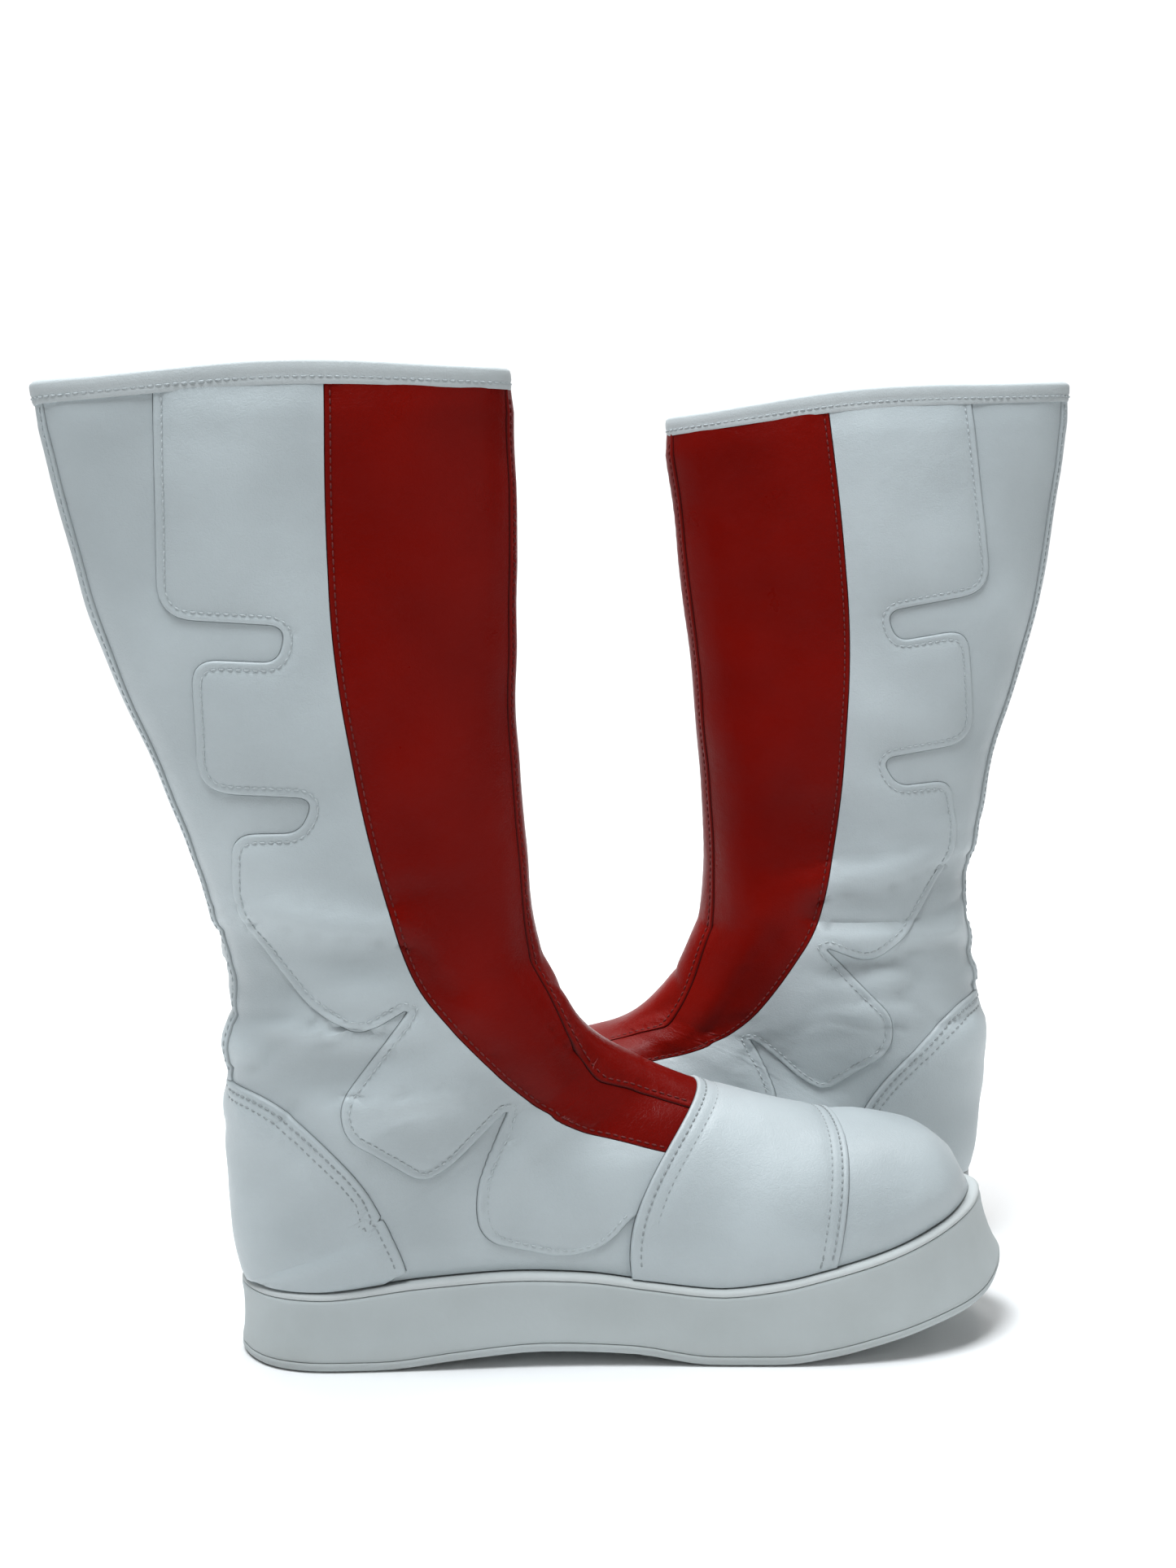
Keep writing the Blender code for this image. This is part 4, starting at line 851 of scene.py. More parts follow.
def sew(line, height, thread, limit=None):
    """Stitches of one length along a line."""
    points, normals = offset_points(line[:, 0], line[:, 1], height)
    if limit is not None:
        ok = inside_many(spread_many(line[:, 0], line[:, 1]), limit)
    else:
        ok = np.ones(len(line), bool)
    walked = np.concatenate([[0], np.cumsum(np.linalg.norm(np.diff(points, axis=0), axis=1))])
    for k in range(int(walked[-1] / PITCH)):
        a = 0.4 + k * PITCH
        if a + STITCH > walked[-1]:
            break
        ends = [np.array([np.interp(t, walked, points[:, j]) for j in range(3)])
                for t in (a, a + STITCH)]
        up = np.array([np.interp(a + STITCH / 2, walked, normals[:, j]) for j in range(3)])
        i = min(int(np.searchsorted(walked, a + STITCH / 2)), len(ok) - 1)
        if not ok[i] or (limit is not None and line[i, 0] < UNDER_BINDING):
            continue
        if ends[0][2] > RIM_HEIGHT + 1 or np.linalg.norm(ends[1] - ends[0]) < 0.6 * STITCH:
            continue
        threads[thread].append((ends[0], ends[1], up))


def stitch_mesh(stitches, boot):
    verts, faces = [], []
    levels = [(0.0, 0.35, -0.22), (0.25, 1.0, 0.0), (0.75, 1.0, 0.0), (1.0, 0.35, -0.22)]
    mids = np.array([(a + b) / 2 for a, b, _ in stitches])
    ups = np.array([u / np.linalg.norm(u) for _, _, u in stitches])
    raised = wrinkle(mids, boot.seed)
    for (a, b, _), up, lift in zip(stitches, ups, raised):
        along = b - a
        side = np.cross(up, along)
        side /= np.linalg.norm(side)
        base = len(verts)
        for t, wide, sink in levels:
            centre = a + along * t + up * (lift + sink)
            for k in range(5):
                turn = 2 * pi * k / 5
                verts.append(centre + THREAD * wide * (cos(turn) * side + sin(turn) * up))
        faces += ladder(base, 3, 5) + lids(base, 3, 5)
    return boot.locate(verts), faces


# ----------------------------------------------------------------- materials
def node(tree, kind, x, y, **values):
    made = tree.nodes.new(kind)
    made.location = (x, y)
    for key, value in values.items():
        setattr(made, key, value)
    return made


def start_material(name, color, roughness, metallic=0.0):
    material = bpy.data.materials.new(name)
    material.use_nodes = True
    tree = material.node_tree
    shader = tree.nodes["Principled BSDF"]
    shader.inputs["Base Color"].default_value = (*color, 1)
    shader.inputs["Roughness"].default_value = roughness
    shader.inputs["Metallic"].default_value = metallic
    place = node(tree, "ShaderNodeTexCoord", -1500, 0)
    return material, tree, shader, place.outputs["Object"]


def noise_of(tree, place, scale, detail=3.0, x=-1200, y=0, rough=0.5):
    made = node(tree, "ShaderNodeTexNoise", x, y)
    made.inputs["Scale"].default_value = scale
    made.inputs["Detail"].default_value = detail
    made.inputs["Roughness"].default_value = rough
    tree.links.new(place, made.inputs["Vector"])
    return made.outputs["Fac"]


def ramp(tree, value, low, high, x=-900, y=0):
    made = node(tree, "ShaderNodeMapRange", x, y)
    tree.links.new(value, made.inputs["Value"])
    for key, number in (("From Min", low[0]), ("From Max", high[0]), ("To Min", low[1]),
                        ("To Max", high[1])):
        made.inputs[key].default_value = number
    return made.outputs["Result"]


def blend_color(tree, share, first, second, x=-500, y=0):
    made = node(tree, "ShaderNodeMix", x, y, data_type="RGBA")
    sockets = {s.name: s for s in made.inputs if s.enabled}
    for key, value in (("Factor", share), ("A", first), ("B", second)):
        if hasattr(value, "is_linked"):
            tree.links.new(value, sockets[key])
        elif key == "Factor":
            sockets[key].default_value = value
        else:
            sockets[key].default_value = (*value, 1)
    return [s for s in made.outputs if s.enabled][0]


def bump(tree, height, distance, strength=1.0, normal=None, x=-300, y=-300):
    made = node(tree, "ShaderNodeBump", x, y)
    made.inputs["Strength"].default_value = strength
    made.inputs["Distance"].default_value = distance
    tree.links.new(height, made.inputs["Height"])
    if normal is not None:
        tree.links.new(normal, made.inputs["Normal"])
    return made.outputs["Normal"]


def leather(name, color, deep, edge, roughness, shine=0.5, grain=1.0):
    """Smooth leather: pebbled grain, soft mottling, painted shade in the wrinkles' valleys, and a
    darker cut edge that is partly painted seam shade on the white.
    """
    material, tree, shader, place = start_material(name, color, roughness)
    shader.inputs["Specular IOR Level"].default_value = shine
    mottle = ramp(tree, noise_of(tree, place, 14, 5, y=300), (0.35, 0), (0.68, 1), y=300)
    body = blend_color(tree, mottle, color, deep, x=-650, y=300)
    # Painted shade: the hollow attribute darkens the colour towards 0.62 of the deep colour, most
    # in the valleys of the wrinkles
    hollow = node(tree, "ShaderNodeAttribute", -900, 700, attribute_name="hollow")
    sunk = ramp(tree, hollow.outputs["Fac"], (0.15, 0), (0.95, 0.55), x=-700, y=700)
    body = blend_color(tree, sunk, body, [0.62 * c for c in deep], x=-520, y=400)
    # The tone attribute turns the lower part of a raised edge to the edge colour: the leather's own
    # cut edge, and on the white leather also painted shade where the panel meets the one below
    tone = node(tree, "ShaderNodeAttribute", -900, 500, attribute_name="tone")
    dark = ramp(tree, tone.outputs["Fac"], (0.3, 0), (0.95, 1), x=-700, y=550)
    finished = blend_color(tree, dark, body, edge, x=-400, y=300)
    tree.links.new(finished, shader.inputs["Base Color"])
    cells = node(tree, "ShaderNodeTexVoronoi", -1200, -300, feature="DISTANCE_TO_EDGE")
    cells.inputs["Scale"].default_value = 700
    bent = node(tree, "ShaderNodeMix", -1350, -300, data_type="RGBA")
    bent.inputs["Factor"].default_value = 0.004
    warp = node(tree, "ShaderNodeTexNoise", -1500, -400)
    warp.inputs["Scale"].default_value = 260
    tree.links.new(place, warp.inputs["Vector"])
    tree.links.new(place, bent.inputs["A"])
    tree.links.new(warp.outputs["Color"], bent.inputs["B"])
    tree.links.new(bent.outputs["Result"], cells.inputs["Vector"])
    pores = ramp(tree, cells.outputs["Distance"], (0, 0), (0.16, 1), y=-300)
    first = bump(tree, pores, 0.00007 * grain, 0.55, x=-600, y=-300)
    soft = bump(tree, noise_of(tree, place, 95, 4, y=-600), 0.0006 * grain, 0.6, first, x=-400)
    tree.links.new(soft, shader.inputs["Normal"])
    rough = ramp(tree, noise_of(tree, place, 60, 4, y=-800), (0.3, roughness - 0.06),
                 (0.7, roughness + 0.08), y=-800)
    tree.links.new(rough, shader.inputs["Roughness"])
    return material


def rubber(name, color, deep, roughness):
    """Matte foam rubber with faint scuffs and fine and broad bumps all over."""
    material, tree, shader, place = start_material(name, color, roughness)
    mottle = ramp(tree, noise_of(tree, place, 22, 6, y=300), (0.42, 0), (0.72, 1), y=300)
    body = blend_color(tree, mottle, color, deep, x=-650, y=300)
    split = node(tree, "ShaderNodeSeparateXYZ", -1200, 600)
    tree.links.new(place, split.inputs["Vector"])
    low = ramp(tree, split.outputs["Z"], (0.0, 0.5), (0.012, 0.0), y=600)
    scuff = node(tree, "ShaderNodeMath", -700, 600, operation="MULTIPLY")
    tree.links.new(low, scuff.inputs[0])
    tree.links.new(noise_of(tree, place, 45, 4, y=800), scuff.inputs[1])
    finished = blend_color(tree, scuff.outputs["Value"], body, (0.42, 0.42, 0.40), x=-400, y=300)
    tree.links.new(finished, shader.inputs["Base Color"])
    fine = bump(tree, noise_of(tree, place, 420, 3, y=-300), 0.0002, 0.5, x=-500)
    wide = bump(tree, noise_of(tree, place, 40, 3, y=-500), 0.0009, 0.5, fine, x=-300)
    tree.links.new(wide, shader.inputs["Normal"])
    return material


def woven(name, color, deep, scale, roughness=0.9):
    """Plain woven cloth: two crossed sets of threads."""
    material, tree, shader, place = start_material(name, color, roughness)
    shader.inputs["Sheen Weight"].default_value = 0.25
    waves = []
    for k, direction in enumerate(("X", "Z")):
        wave = node(tree, "ShaderNodeTexWave", -1100, -300 * k, bands_direction=direction)
        wave.inputs["Scale"].default_value = scale
        wave.inputs["Distortion"].default_value = 0.6
        tree.links.new(place, wave.inputs["Vector"])
        waves.append(wave.outputs["Fac"])
    cross = node(tree, "ShaderNodeMath", -800, 0, operation="MAXIMUM")
    tree.links.new(waves[0], cross.inputs[0])
    tree.links.new(waves[1], cross.inputs[1])
    body = blend_color(tree, ramp(tree, noise_of(tree, place, 30, 4, y=300), (0.35, 0), (0.7, 1),
                                  y=300), color, deep, x=-650, y=300)
    dark = ramp(tree, cross.outputs["Value"], (0.2, 0.45), (0.8, 0.0), x=-600, y=0)
    tree.links.new(blend_color(tree, dark, body, deep, x=-400, y=200), shader.inputs["Base Color"])
    tree.links.new(bump(tree, cross.outputs["Value"], 0.0003, 0.7), shader.inputs["Normal"])
    return material


def plated(name, color, roughness):
    """Plated metal with fine brushing and small scratches."""
    material, tree, shader, place = start_material(name, color, roughness, 1.0)
    stretched = node(tree, "ShaderNodeMapping", -1350, 0)
    stretched.inputs["Scale"].default_value = (1, 1, 14)
    tree.links.new(place, stretched.inputs["Vector"])
    lines = noise_of(tree, stretched.outputs["Vector"], 500, 3)
    tree.links.new(ramp(tree, lines, (0.3, roughness - 0.1), (0.7, roughness + 0.15)),
                   shader.inputs["Roughness"])
    tree.links.new(bump(tree, lines, 0.00004, 0.5), shader.inputs["Normal"])
    return material


def thread_material(name, color, deep):
    material, tree, shader, place = start_material(name, color, 0.7)
    shade = ramp(tree, noise_of(tree, place, 900, 2), (0.3, 0), (0.7, 1))
    tree.links.new(blend_color(tree, shade, color, deep), shader.inputs["Base Color"])
    tree.links.new(bump(tree, noise_of(tree, place, 2600, 1, y=-300), 0.0001, 0.6),
                   shader.inputs["Normal"])
    return material


# Each leather's third colour is its cut edge: on the red, the near-black is the edge's own colour;
# on the white, the grey edge is partly its raw edge and partly painted shade along the seams. 0.62
# of the deep colour is the painted shade in the wrinkles.
WHITE_LEATHER = leather("white_leather", (0.55, 0.612, 0.632), (0.48, 0.538, 0.558),
                        (0.36, 0.395, 0.405), 0.42, 0.5)
RED_LEATHER = leather("red_leather", (0.20, 0.004, 0.0015), (0.155, 0.0025, 0.001),
                      (0.012, 0.006, 0.006), 0.33, 0.1)
PIPING = leather("binding_leather", (0.52, 0.56, 0.57), (0.46, 0.50, 0.51),
                 (0.38, 0.41, 0.42), 0.5, 0.4)
SOLE = rubber("sole_rubber", (0.48, 0.525, 0.53), (0.43, 0.47, 0.47), 0.72)
LIP = rubber("lip_rubber", (0.50, 0.53, 0.53), (0.45, 0.48, 0.475), 0.7)
CLOTH = woven("lining_cloth", (0.60, 0.61, 0.60), (0.47, 0.48, 0.47), 420)
BED = woven("footbed_cloth", (0.50, 0.49, 0.46), (0.38, 0.37, 0.35), 300)
TAPE_CLOTH = woven("zip_tape", (0.62, 0.64, 0.64), (0.46, 0.48, 0.48), 700)
METAL = plated("zip_metal", (0.62, 0.63, 0.65), 0.28)
TEETH = rubber("zip_teeth", (0.66, 0.68, 0.69), (0.6, 0.62, 0.63), 0.42)
WHITE_THREAD = thread_material("white_thread", (0.50, 0.55, 0.565), (0.40, 0.44, 0.45))
GREY_THREAD = thread_material("grey_thread", (0.34, 0.375, 0.385), (0.25, 0.275, 0.28))
RED_THREAD = thread_material("red_thread", (0.16, 0.008, 0.006), (0.10, 0.005, 0.004))
BOARD_FELT = woven("inner_board", (0.35, 0.28, 0.19), (0.25, 0.2, 0.13), 350)
CORK = rubber("cork", (0.42, 0.29, 0.16), (0.3, 0.2, 0.11), 0.9)


# ----------------------------------------------------------------- the upper
LOWER = 0.15             # radius of an edge that meets a thicker neighbour
RAISED = 1.15


def plain(line):
    """An edge without stitches."""
    return line, LOWER, ()


def heights(base, near_vamp, reach):
    """Panel thickness, growing towards the vamp's back edge."""
    def at(points):
        toward = 1 - np.clip(np.abs(points[:, 0] - 2.385 - 0.1 * points[:, 1] ** 2) / reach, 0, 1)
        return base + near_vamp * toward
    return at


def add_upper():
    strip, other = strip_edge(1), strip_edge(-1)
    low_turn = strip_half(2.39)
    rim = [(0, -strip_half(0)), (0, strip_half(0))]
    panel("front_strip", [(other, RAISED, (2.8,)), plain(along_vamp(-low_turn, low_turn, 8)),
                          (strip[::-1], RAISED, (2.8,)), plain(rim[::-1])],
          STRIP + 0.3, RED_LEATHER, thread="red")
    red = cut_line(side_line(RED_EDGE), above_vamp)
    red[0] = (0, red[0][1])
    zigzag = cut_line(side_line(ZIGZAG), above_vamp)
    zigzag[0] = (0, zigzag[0][1])
    for side, flip in (("lateral", list), ("medial", mirror_line)):
        panel("red_panel_" + side, [plain(flip(strip)),
                                    plain(flip(along_vamp(low_turn, red[-1][1]))),
                                    (flip(red[::-1]), 0.9, (2.2,)),
                                    plain(flip([(0, red[0][1]), (0, strip[0][1])]))],
              RED_TOP, RED_LEATHER, thread="red")
    heel = cut_line(side_line(HEEL_EDGE), lambda s, q: q < 1 - stay_half(s) and q < 0.995)
    top_s, foot_s = heel[0][0], heel[-1][0]
    stay = stay_edge(top_s)
    feather = run((vamp_seam(1), 1), (foot_s, 1), 8)
    panel("overlay_lateral", [plain(red), plain(along_vamp(red[-1][1], zigzag[-1][1])),
                              (zigzag[::-1], RAISED, (3.2,)),
                              plain([(0, zigzag[0][1]), (0, red[0][1])])], OVERLAY, WHITE_LEATHER)
    tail = [plain(along_vamp(zigzag[-1][1], 1)), plain(feather),
            plain(heel[::-1]), plain(stay[::-1])]
    panel("quarter_lateral", [plain(zigzag)] + tail
          + [plain([(0, stay[0][1]), (0, zigzag[0][1])])], LEATHER, WHITE_LEATHER)

    front_edge = [zip_side(0, 0.5), zip_side(1, 0.5), ZIP_END]
    back_edge = [zip_side(0, -0.5), zip_side(1, -0.5), ZIP_END]
    low = cut_line(side_line([(*ZIP_END, 0)] + ZIGZAG_LOW), above_vamp)
    ahead = [on_side(x, z) for x, z in subdivide(front_edge)]
    behind = [on_side(x, z) for x, z in subdivide(back_edge)]
    ahead[0], behind[0] = (0, ahead[0][1]), (0, behind[0][1])
    m = mirror_line
    panel("overlay_medial", [plain(m(red)), plain(m(along_vamp(red[-1][1], low[-1][1]))),
                             (m(low[::-1]), RAISED, (3.2,)), (m(ahead[::-1]), 0.7, (2.6,)),
                             plain(m([(0, ahead[0][1]), (0, red[0][1])]))], OVERLAY, WHITE_LEATHER)
    tail = [plain(m(along_vamp(low[-1][1], 1))), plain(m(feather)),
            plain(m(heel[::-1])), plain(m(stay[::-1]))]
    panel("quarter_medial", [(m(behind), 0.5, (2.6,)), plain(m(low))] + tail
          + [plain(m([(0, stay[0][1]), (0, behind[0][1])]))], LEATHER, WHITE_LEATHER)

    over = [(s, 2 - q) for s, q in stay]
    panel("back_stay", [(stay, 0.9, (2.0,)), plain([stay[-1], over[-1]]),
                        (over[::-1], 0.9, (2.0,)), plain([over[0], stay[0]])],
          BACK_STAY, WHITE_LEATHER, puff=0.0)
    around = [(s, 2 - q) for s, q in heel]
    closing = run((foot_s, 1), (2, 1), 8)
    seam = run((2, 1), (foot_s, 1), 8, lambda s, q: (s, 1.0005))
    panel("heel_cover", [(heel, RAISED, (2.6, 5.6)), plain(closing), plain(seam),
                         (around[::-1], RAISED, (2.6, 5.6)),
                         ([around[0], heel[0]], RAISED, (2.6,))],
          HEEL_COVER, WHITE_LEATHER, thread="grey")
    panel("vamp", [(along_vamp(-1, 1, 24), RAISED, (3.6, 8.4)),
                   plain(run((vamp_seam(1), 1), (CAP_SEAM, 1), 6)),
                   (run((CAP_SEAM, 1), (CAP_SEAM, -1), 24), RAISED, (3.0, 7.0)),
                   plain(run((CAP_SEAM, -1), (vamp_seam(1), -1), 6))],
          heights(VAMP, 1.0, 0.06), WHITE_LEATHER, thread="grey")
    panel("toe_cap", [plain(run((CAP_SEAM, -1), (CAP_SEAM, 1), 24)),
                      plain(run((CAP_SEAM, 1), (TIP, 1), 12)),
                      plain(run((TIP, 1), (TIP, -1), 2)),
                      plain(run((TIP, -1), (CAP_SEAM, -1), 12))], CAP, WHITE_LEATHER)


def add_linings():
    slit = Track([(0, zip_skin(0)[1])] + [zip_skin(k / 10) for k in range(1, 11)]
                 + [(LINING_SEAM + 0.05, zip_skin(1)[1])])
    half = 0.6 * ZIP_SLOT / 190

    def edge(side):
        return run((0, 0), (LINING_SEAM, 0), 28,
                   lambda s, q: (s, slit(s) + (half if side > 0 else 2 - half)))
    ahead, behind = edge(1), edge(-1)
    panel("shaft_lining", [plain(ahead), plain(run(ahead[-1], behind[-1], 24)),
                           plain(behind[::-1]),
                           plain(run(behind[0], ahead[0], 24))],
          LINING - LINING_DEPTH, CLOTH, base=-LINING_DEPTH, fine=2 * FINE, puff=0)
    back = run((LINING_SEAM, 1), (2, 1), 4) + run((2, 1), (INNER_TIP, 1), 14)[1:]
    panel("foot_lining", [plain(run((LINING_SEAM, -1), (LINING_SEAM, 1), 24)),
                          plain(back), plain(run((INNER_TIP, 1), (INNER_TIP, -1), 6)),
                          plain(mirror_line(back)[::-1])],
          LINING - FOOT_LINING_DEPTH, CLOTH, base=-FOOT_LINING_DEPTH, fine=2 * FINE, puff=0)


def add_binding():
    """The folded strip over the rim, with its row of stitches."""
    turn = zip_skin(0)[1]
    start = turn + 0.5 * ZIP_SLOT / 190 + 0.004
    end = start + 2 * (1 - (start - turn))
    turns = np.linspace(start, end, 190)
    outer, inner = 1.5, -LINING_DEPTH - 0.4
    low = 7.0 / (RIM_HEIGHT - ANKLE_FRONT_Z)
    middle, half = (outer + inner) / 2, (outer - inner) / 2 + 0.5
    profile = [(low, outer - 0.3, 0), (low, outer + 0.5, 0), (low * 0.8, outer + 0.85, 0),
               (low * 0.66, outer + 0.4, 0), (low * 0.45, outer + 0.85, 0),
               (low * 0.2, outer + 0.7, 0)]
    for k in range(9):
        angle = pi * k / 8
        profile.append((0, middle + half * cos(angle), 1.9 * sin(angle) - 0.3))
    profile += [(low * 0.5, inner - 0.9, 0), (low, inner - 0.9, 0), (low, inner + 0.1, 0),
                (0.004, inner + 0.3, 0), (0.004, outer - 0.3, 0)]
    rings, tone = [], []
    for s, height, lift in profile:
        points, _ = offset_points(np.full(len(turns), s), turns, height)
        points[:, 2] += lift
        rings.append(points)
        # the fold's lower edge gets a tone of 0.25, below where the leather's edge darkening and
        # painted seam shade begin, so no darkening shows
        tone.append(0.25 if s == low else 0.0)
    count = len(profile)
    verts = np.stack(rings, axis=1).reshape(-1, 3)
    faces = ladder(0, len(turns) - 1, count) + lids(0, len(turns) - 1, count)
    normals = last_normals(np.full(len(turns), 0.0), turns)
    for boot in BOOTS:
        waves = np.array([noise.noise(Vector((q * 9, boot.seed, 0))) for q in turns])
        shift = np.repeat(normals * waves[:, None] * 0.5, count, axis=0)
        make_object(boot.name + "_binding_fold", boot.locate(verts + shift), faces, PIPING,
                    boot.name + "_boot",
                    [boot.name + "_collar_binding"], tone * len(turns), 60)
    line = np.stack([np.full(len(turns), low * 0.66), turns], axis=1)
    sew(line, np.full(len(turns), outer + 0.75), "white")


# ------------------------------------------------------------------- the zip


TOOTH_PITCH = 1.7
METAL_BEVEL = 0.00028    # metres


def add_zip():
    """Two rows of teeth, and bevelled metal over the CAD pieces."""
    for boot in BOOTS:
        b = boot.name + "_"
        box = frame["nodes"][b + "zipper_chain"].data
        coords = np.array([v.co for v in box.vertices]) / MM
        ends = coords[coords[:, 2] > coords[:, 2].max() - 2].mean(0), \
            coords[coords[:, 2] < coords[:, 2].min() + 2].mean(0)
        top, bottom = Vector(ends[0]), Vector(ends[1])
        down = (bottom - top).normalized()
        hinge = [j for j in frame["joints"] if j["name"] == boot.name + "_pull_swing"][0]
        cross = Vector(hinge["axis"]).normalized()
        outward = cross.cross(down).normalized()
        verts, faces = [], []
        count = int(((bottom - top).length - 2) / TOOTH_PITCH)
        profile = [(-0.45, -0.5), (0.45, -0.5), (0.55, 0.0), (0.45, 0.5), (-0.45, 0.5), (-0.55, 0)]
        for k in range(count):
            side = 1 if k % 2 else -1
            centre = top + down * (1 + TOOTH_PITCH * (k + 0.5))
            first = len(verts)
            for reach, grow in ((-0.5, 0.8), (0.3, 1.0), (2.3, 1.0), (2.5, 0.7)):
                for along, high in profile:
                    verts.append(centre + down * along * TOOTH_PITCH * 0.95 * grow
                                 + outward * high * 1.15 * grow + cross * side * reach)
            faces += ladder(first, 3, len(profile)) + lids(first, 3, len(profile))
        make_object(b + "zip_teeth", [v * MM for v in verts], faces, TEETH, boot.name + "_boot",
                    [b + "zipper_chain"], smooth=35)
        for part, body in (("zipper_slider", "_slider"), ("zipper_pull", "_pull"),
                           ("zipper_top_stop", "_boot"), ("zipper_bottom_stop", "_boot")):
            source = frame["nodes"][b + part]
            copy = bpy.data.objects.new(b + part + "_metal", source.data.copy())
            bpy.context.scene.collection.objects.link(copy)
            weld = bmesh.new()
            weld.from_mesh(copy.data)
            bmesh.ops.remove_doubles(weld, verts=weld.verts, dist=1e-6)
            bmesh.ops.dissolve_limit(weld, angle_limit=radians(2), verts=weld.verts,
                                     edges=weld.edges)
            weld.to_mesh(copy.data)
            weld.free()
            copy.data.materials.clear()
            copy.data.materials.append(METAL)
            bevel = copy.modifiers.new("bevel", "BEVEL")
            bevel.width, bevel.segments, bevel.limit_method = METAL_BEVEL, 2, "ANGLE"
            bevel.angle_limit = radians(35)
            copy.data.shade_smooth()
            copy.data.set_sharp_from_angle(angle=radians(35))
            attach(copy, boot.name + body)
            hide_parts(b + part)


# ------------------------------------------------------------------- the sole
def fine_outline(grow, count=90):
    """The sole's outline, lateral side then medial side, moved out by grow(x)."""
    stations = 2 + (1 - np.cos(pi * np.linspace(0, 1, count))) / 2
    x = bottom_x.many(stations)
    loop = np.concatenate([np.stack([x, feather_half[1].many(stations)], axis=1),
                           np.stack([x, -feather_half[-1].many(stations)], axis=1)[-2:0:-1]])
    for _ in range(3):
        loop = (np.roll(loop, 1, axis=0) + 2 * loop + np.roll(loop, -1, axis=0)) / 4
    along = np.roll(loop, -1, axis=0) - np.roll(loop, 1, axis=0)
    along /= np.linalg.norm(along, axis=1, keepdims=True)
    out = np.stack([-along[:, 1], along[:, 0]], axis=1)
    return loop + out * np.array([grow(v) for v in loop[:, 0]])[:, None]


def sole_body(name, levels, material, cap=True):
    """Stacked outlines from the bottom up, closed by ladders of quads."""
    count = len(levels[0][0])
    verts = []
    for loop, height in levels:
        verts += [(p[0], p[1], height(p[0])) for p in loop]
    faces = ladder(0, len(levels) - 1, count)
    if cap:
        half = count // 2
        for start in (0, (len(levels) - 1) * count):
            for i in range(half):
                left, right = start + i, start + i + 1
                over, under = start + (count - i) % count, start + count - i - 1
                face = [left, right] + ([under] if right != under else [])
                face += [over] if over != left else []
                if len(face) > 2:
                    faces.append(tuple(face))
    else:
        last = (len(levels) - 1) * count
        faces += [(last + j, last + (j + 1) % count, (j + 1) % count, j) for j in range(count)]
    for boot in BOOTS:
        make_object(boot.name + "_" + name + "_body", boot.locate(verts), faces, material,
                    boot.name + "_boot", [boot.name + "_" + name],
                    smooth=50)


def ground(height):
    return lambda x: ground_line(x) + height


def below(depth):
    return lambda x: sole_top(x) - depth


def between(share, start=OUTSOLE_THICKNESS + GAP, end=WELT + GAP):
    return lambda x: (ground_line(x) + start) * (1 - share) + (sole_top(x) - end) * share


def wall(share, hollow=0.0):
    return fine_outline(lambda x: margin(x) + flare(x) * (1 - share) - hollow)


def add_sole():
    full, edge = wall(0), BOTTOM_EDGE
    sole_body("outsole", [(wall(0, edge + 3), ground(0.25)), (wall(0, edge), ground(0)),
                          (wall(0, 1.2), ground(0.5)), (wall(0, 0.35), ground(1.3)),
                          (full, ground(2.4)), (wall(0, 0.0), ground(OUTSOLE_THICKNESS - 0.2)),
                          (wall(0, 0.2), ground(OUTSOLE_THICKNESS))], SOLE)
    rings = [(wall(0, 0.2), between(0)), (wall(0, 0.05), between(0.01)),
             (wall(0.06, 0.05), between(0.06))]
    for share in (0.2, 0.4, 0.6, 0.8):
        rings.append((wall(share, 0.1 + 0.9 * sin(pi * share)), between(share)))
    rings += [(wall(0.93, 0.1), between(0.93)), (wall(0.99, 0.15), between(0.99)),
              (wall(1, 0.35), between(1))]
    sole_body("midsole", rings, SOLE)
    rim = [(0.35, WELT), (0.1, WELT - 0.2), (0.2, WELT - 0.9), (0.6, 0.75), (1.4, 0.2),
           (2.6, 0.0), (4.5, 0.0)]
    levels = [(fine_outline(lambda x, d=d: margin(x) - d), below(z)) for d, z in rim]
    levels += [(fine_outline(lambda x: -WELT_INSET), below(0.0)),
               (fine_outline(lambda x: -WELT_INSET), below(WELT))]
    sole_body("welt", levels, LIP, cap=False)
    level = FEATHER_GAP + BOARD + GAP
    bed = [(1.2, 0), (0.3, 0.6), (0, 1.5), (0.3, FOOTBED - 0.6), (1.3, FOOTBED)]
    sole_body("footbed", [(fine_outline(lambda x, d=d: inner_edge(x) - d), below(-level - z))
                          for d, z in bed], BED)


# ------------------------------------------------------------- put together
add_upper()
add_linings()
add_binding()
add_zip()
add_sole()
for boot in BOOTS:
    for color, material, slot in (("white", WHITE_THREAD, "_overlay_lateral"),
                                  ("grey", GREY_THREAD, "_vamp"),
                                  ("red", RED_THREAD, "_front_strip")):
        verts, faces = stitch_mesh(threads[color], boot)
        make_object(boot.name + "_" + color + "_stitches", verts, faces, material,
                    boot.name + "_boot", smooth=80)
    for part, material in (("zipper_tape", TAPE_CLOTH), ("heel_counter", BOARD_FELT),
                           ("toe_puff", BOARD_FELT), ("insole_board", BOARD_FELT),
                           ("ball_filler", CORK), ("shank", METAL)):
        mesh = frame["nodes"][boot.name + "_" + part].data
        mesh.materials.clear()
        mesh.materials.append(material)


# ----------------------------------------------------- floor, light and camera
CAMERA_PLACE = (-0.003, -0.8836, 0.3104)
CAMERA_PITCH = 6.16      # degrees below level
CAMERA_LENS = 47.64
WORLD_STRENGTH = 0.16


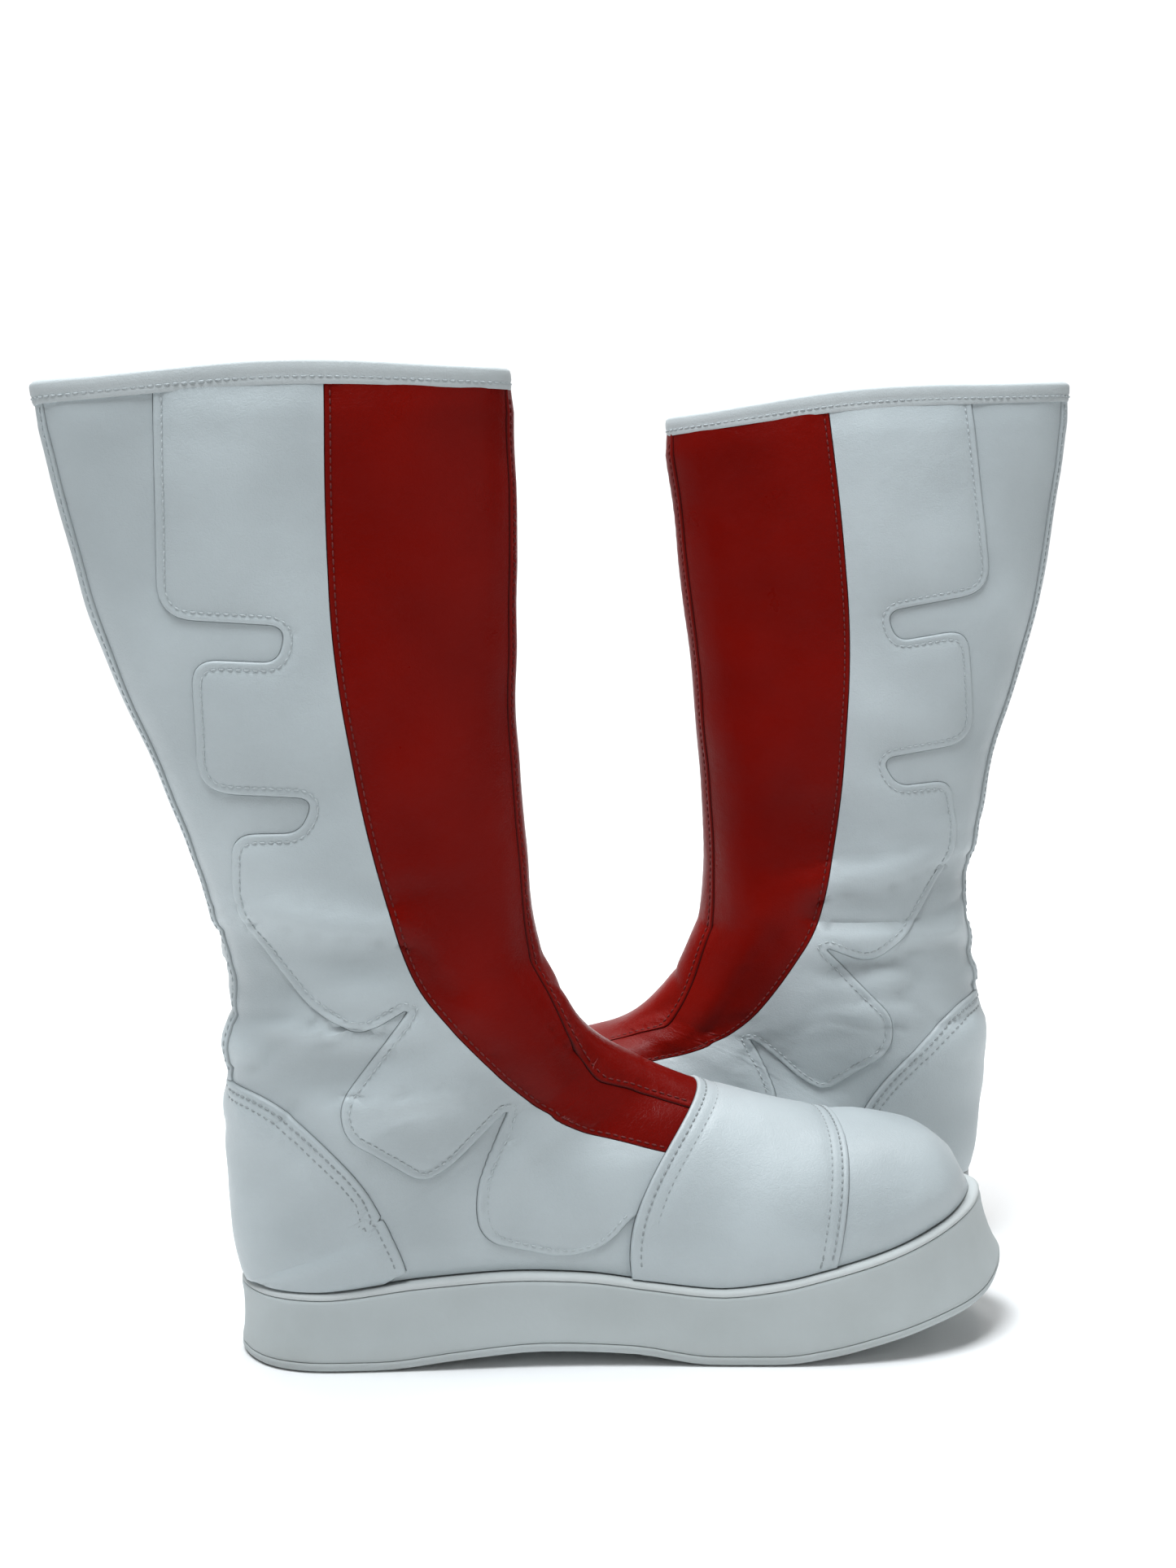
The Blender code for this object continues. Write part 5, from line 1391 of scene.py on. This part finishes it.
def area_light(name, place, aim, size, power, color=(1, 1, 1)):
    data = bpy.data.lights.new(name, "AREA")
    data.shape, data.size, data.size_y = "RECTANGLE", size[0], size[1]
    data.energy, data.color = power, color
    obj = bpy.data.objects.new(name, data)
    obj.location = place
    obj.rotation_euler = (Vector(aim) - Vector(place)).to_track_quat("-Z", "Y").to_euler()
    bpy.context.scene.collection.objects.link(obj)


def add_stage():
    """A pale sweep that runs up behind, soft light from above, and the camera."""
    profile = [(-5.0, 0.0), (2.0, 0.0)]
    profile += [(2.0 + sin(a), 1.0 - cos(a)) for a in np.linspace(0, pi / 2, 17)[1:]] + [(3.0, 4.0)]
    mesh = bpy.data.meshes.new("floor")
    mesh.from_pydata([(x, y, z) for y, z in profile for x in (-5, 5)], [],
                     [(k, k + 1, k + 3, k + 2) for k in range(0, 2 * len(profile) - 2, 2)])
    mesh.shade_smooth()
    floor = bpy.data.objects.new("floor", mesh)
    bpy.context.scene.collection.objects.link(floor)
    mesh.materials.append(start_material("pale_floor", (0.86, 0.86, 0.86), 0.85)[0])
    world = bpy.data.worlds.new("studio")
    world.use_nodes = True
    sky = world.node_tree.nodes["Background"]
    sky.inputs["Color"].default_value = (1.0, 1.0, 1.0, 1)
    sky.inputs["Strength"].default_value = WORLD_STRENGTH
    bpy.context.scene.world = world
    bpy.context.scene.view_settings.view_transform = "Standard"
    area_light("key", (-0.35, -0.35, 1.9), (0, 0, 0.1), (1.0, 0.9), 44, (0.92, 0.965, 1.0))
    area_light("fill", (1.5, -1.2, 0.9), (0, 0, 0.2), (1.2, 1.2), 3)
    area_light("back", (0.3, 1.0, 2.0), (0, 0, 0.1), (1.6, 0.8), 9)
    area_light("sweep", (0, 0.9, 2.6), (0, 3.0, 0.7), (2.4, 1.4), 75)
    data = bpy.data.cameras.new("camera")
    data.lens = CAMERA_LENS
    camera = bpy.data.objects.new("camera", data)
    camera.location = CAMERA_PLACE
    camera.rotation_euler = (radians(90 - CAMERA_PITCH), 0, 0)
    bpy.context.scene.collection.objects.link(camera)
    bpy.context.scene.camera = camera


add_stage()
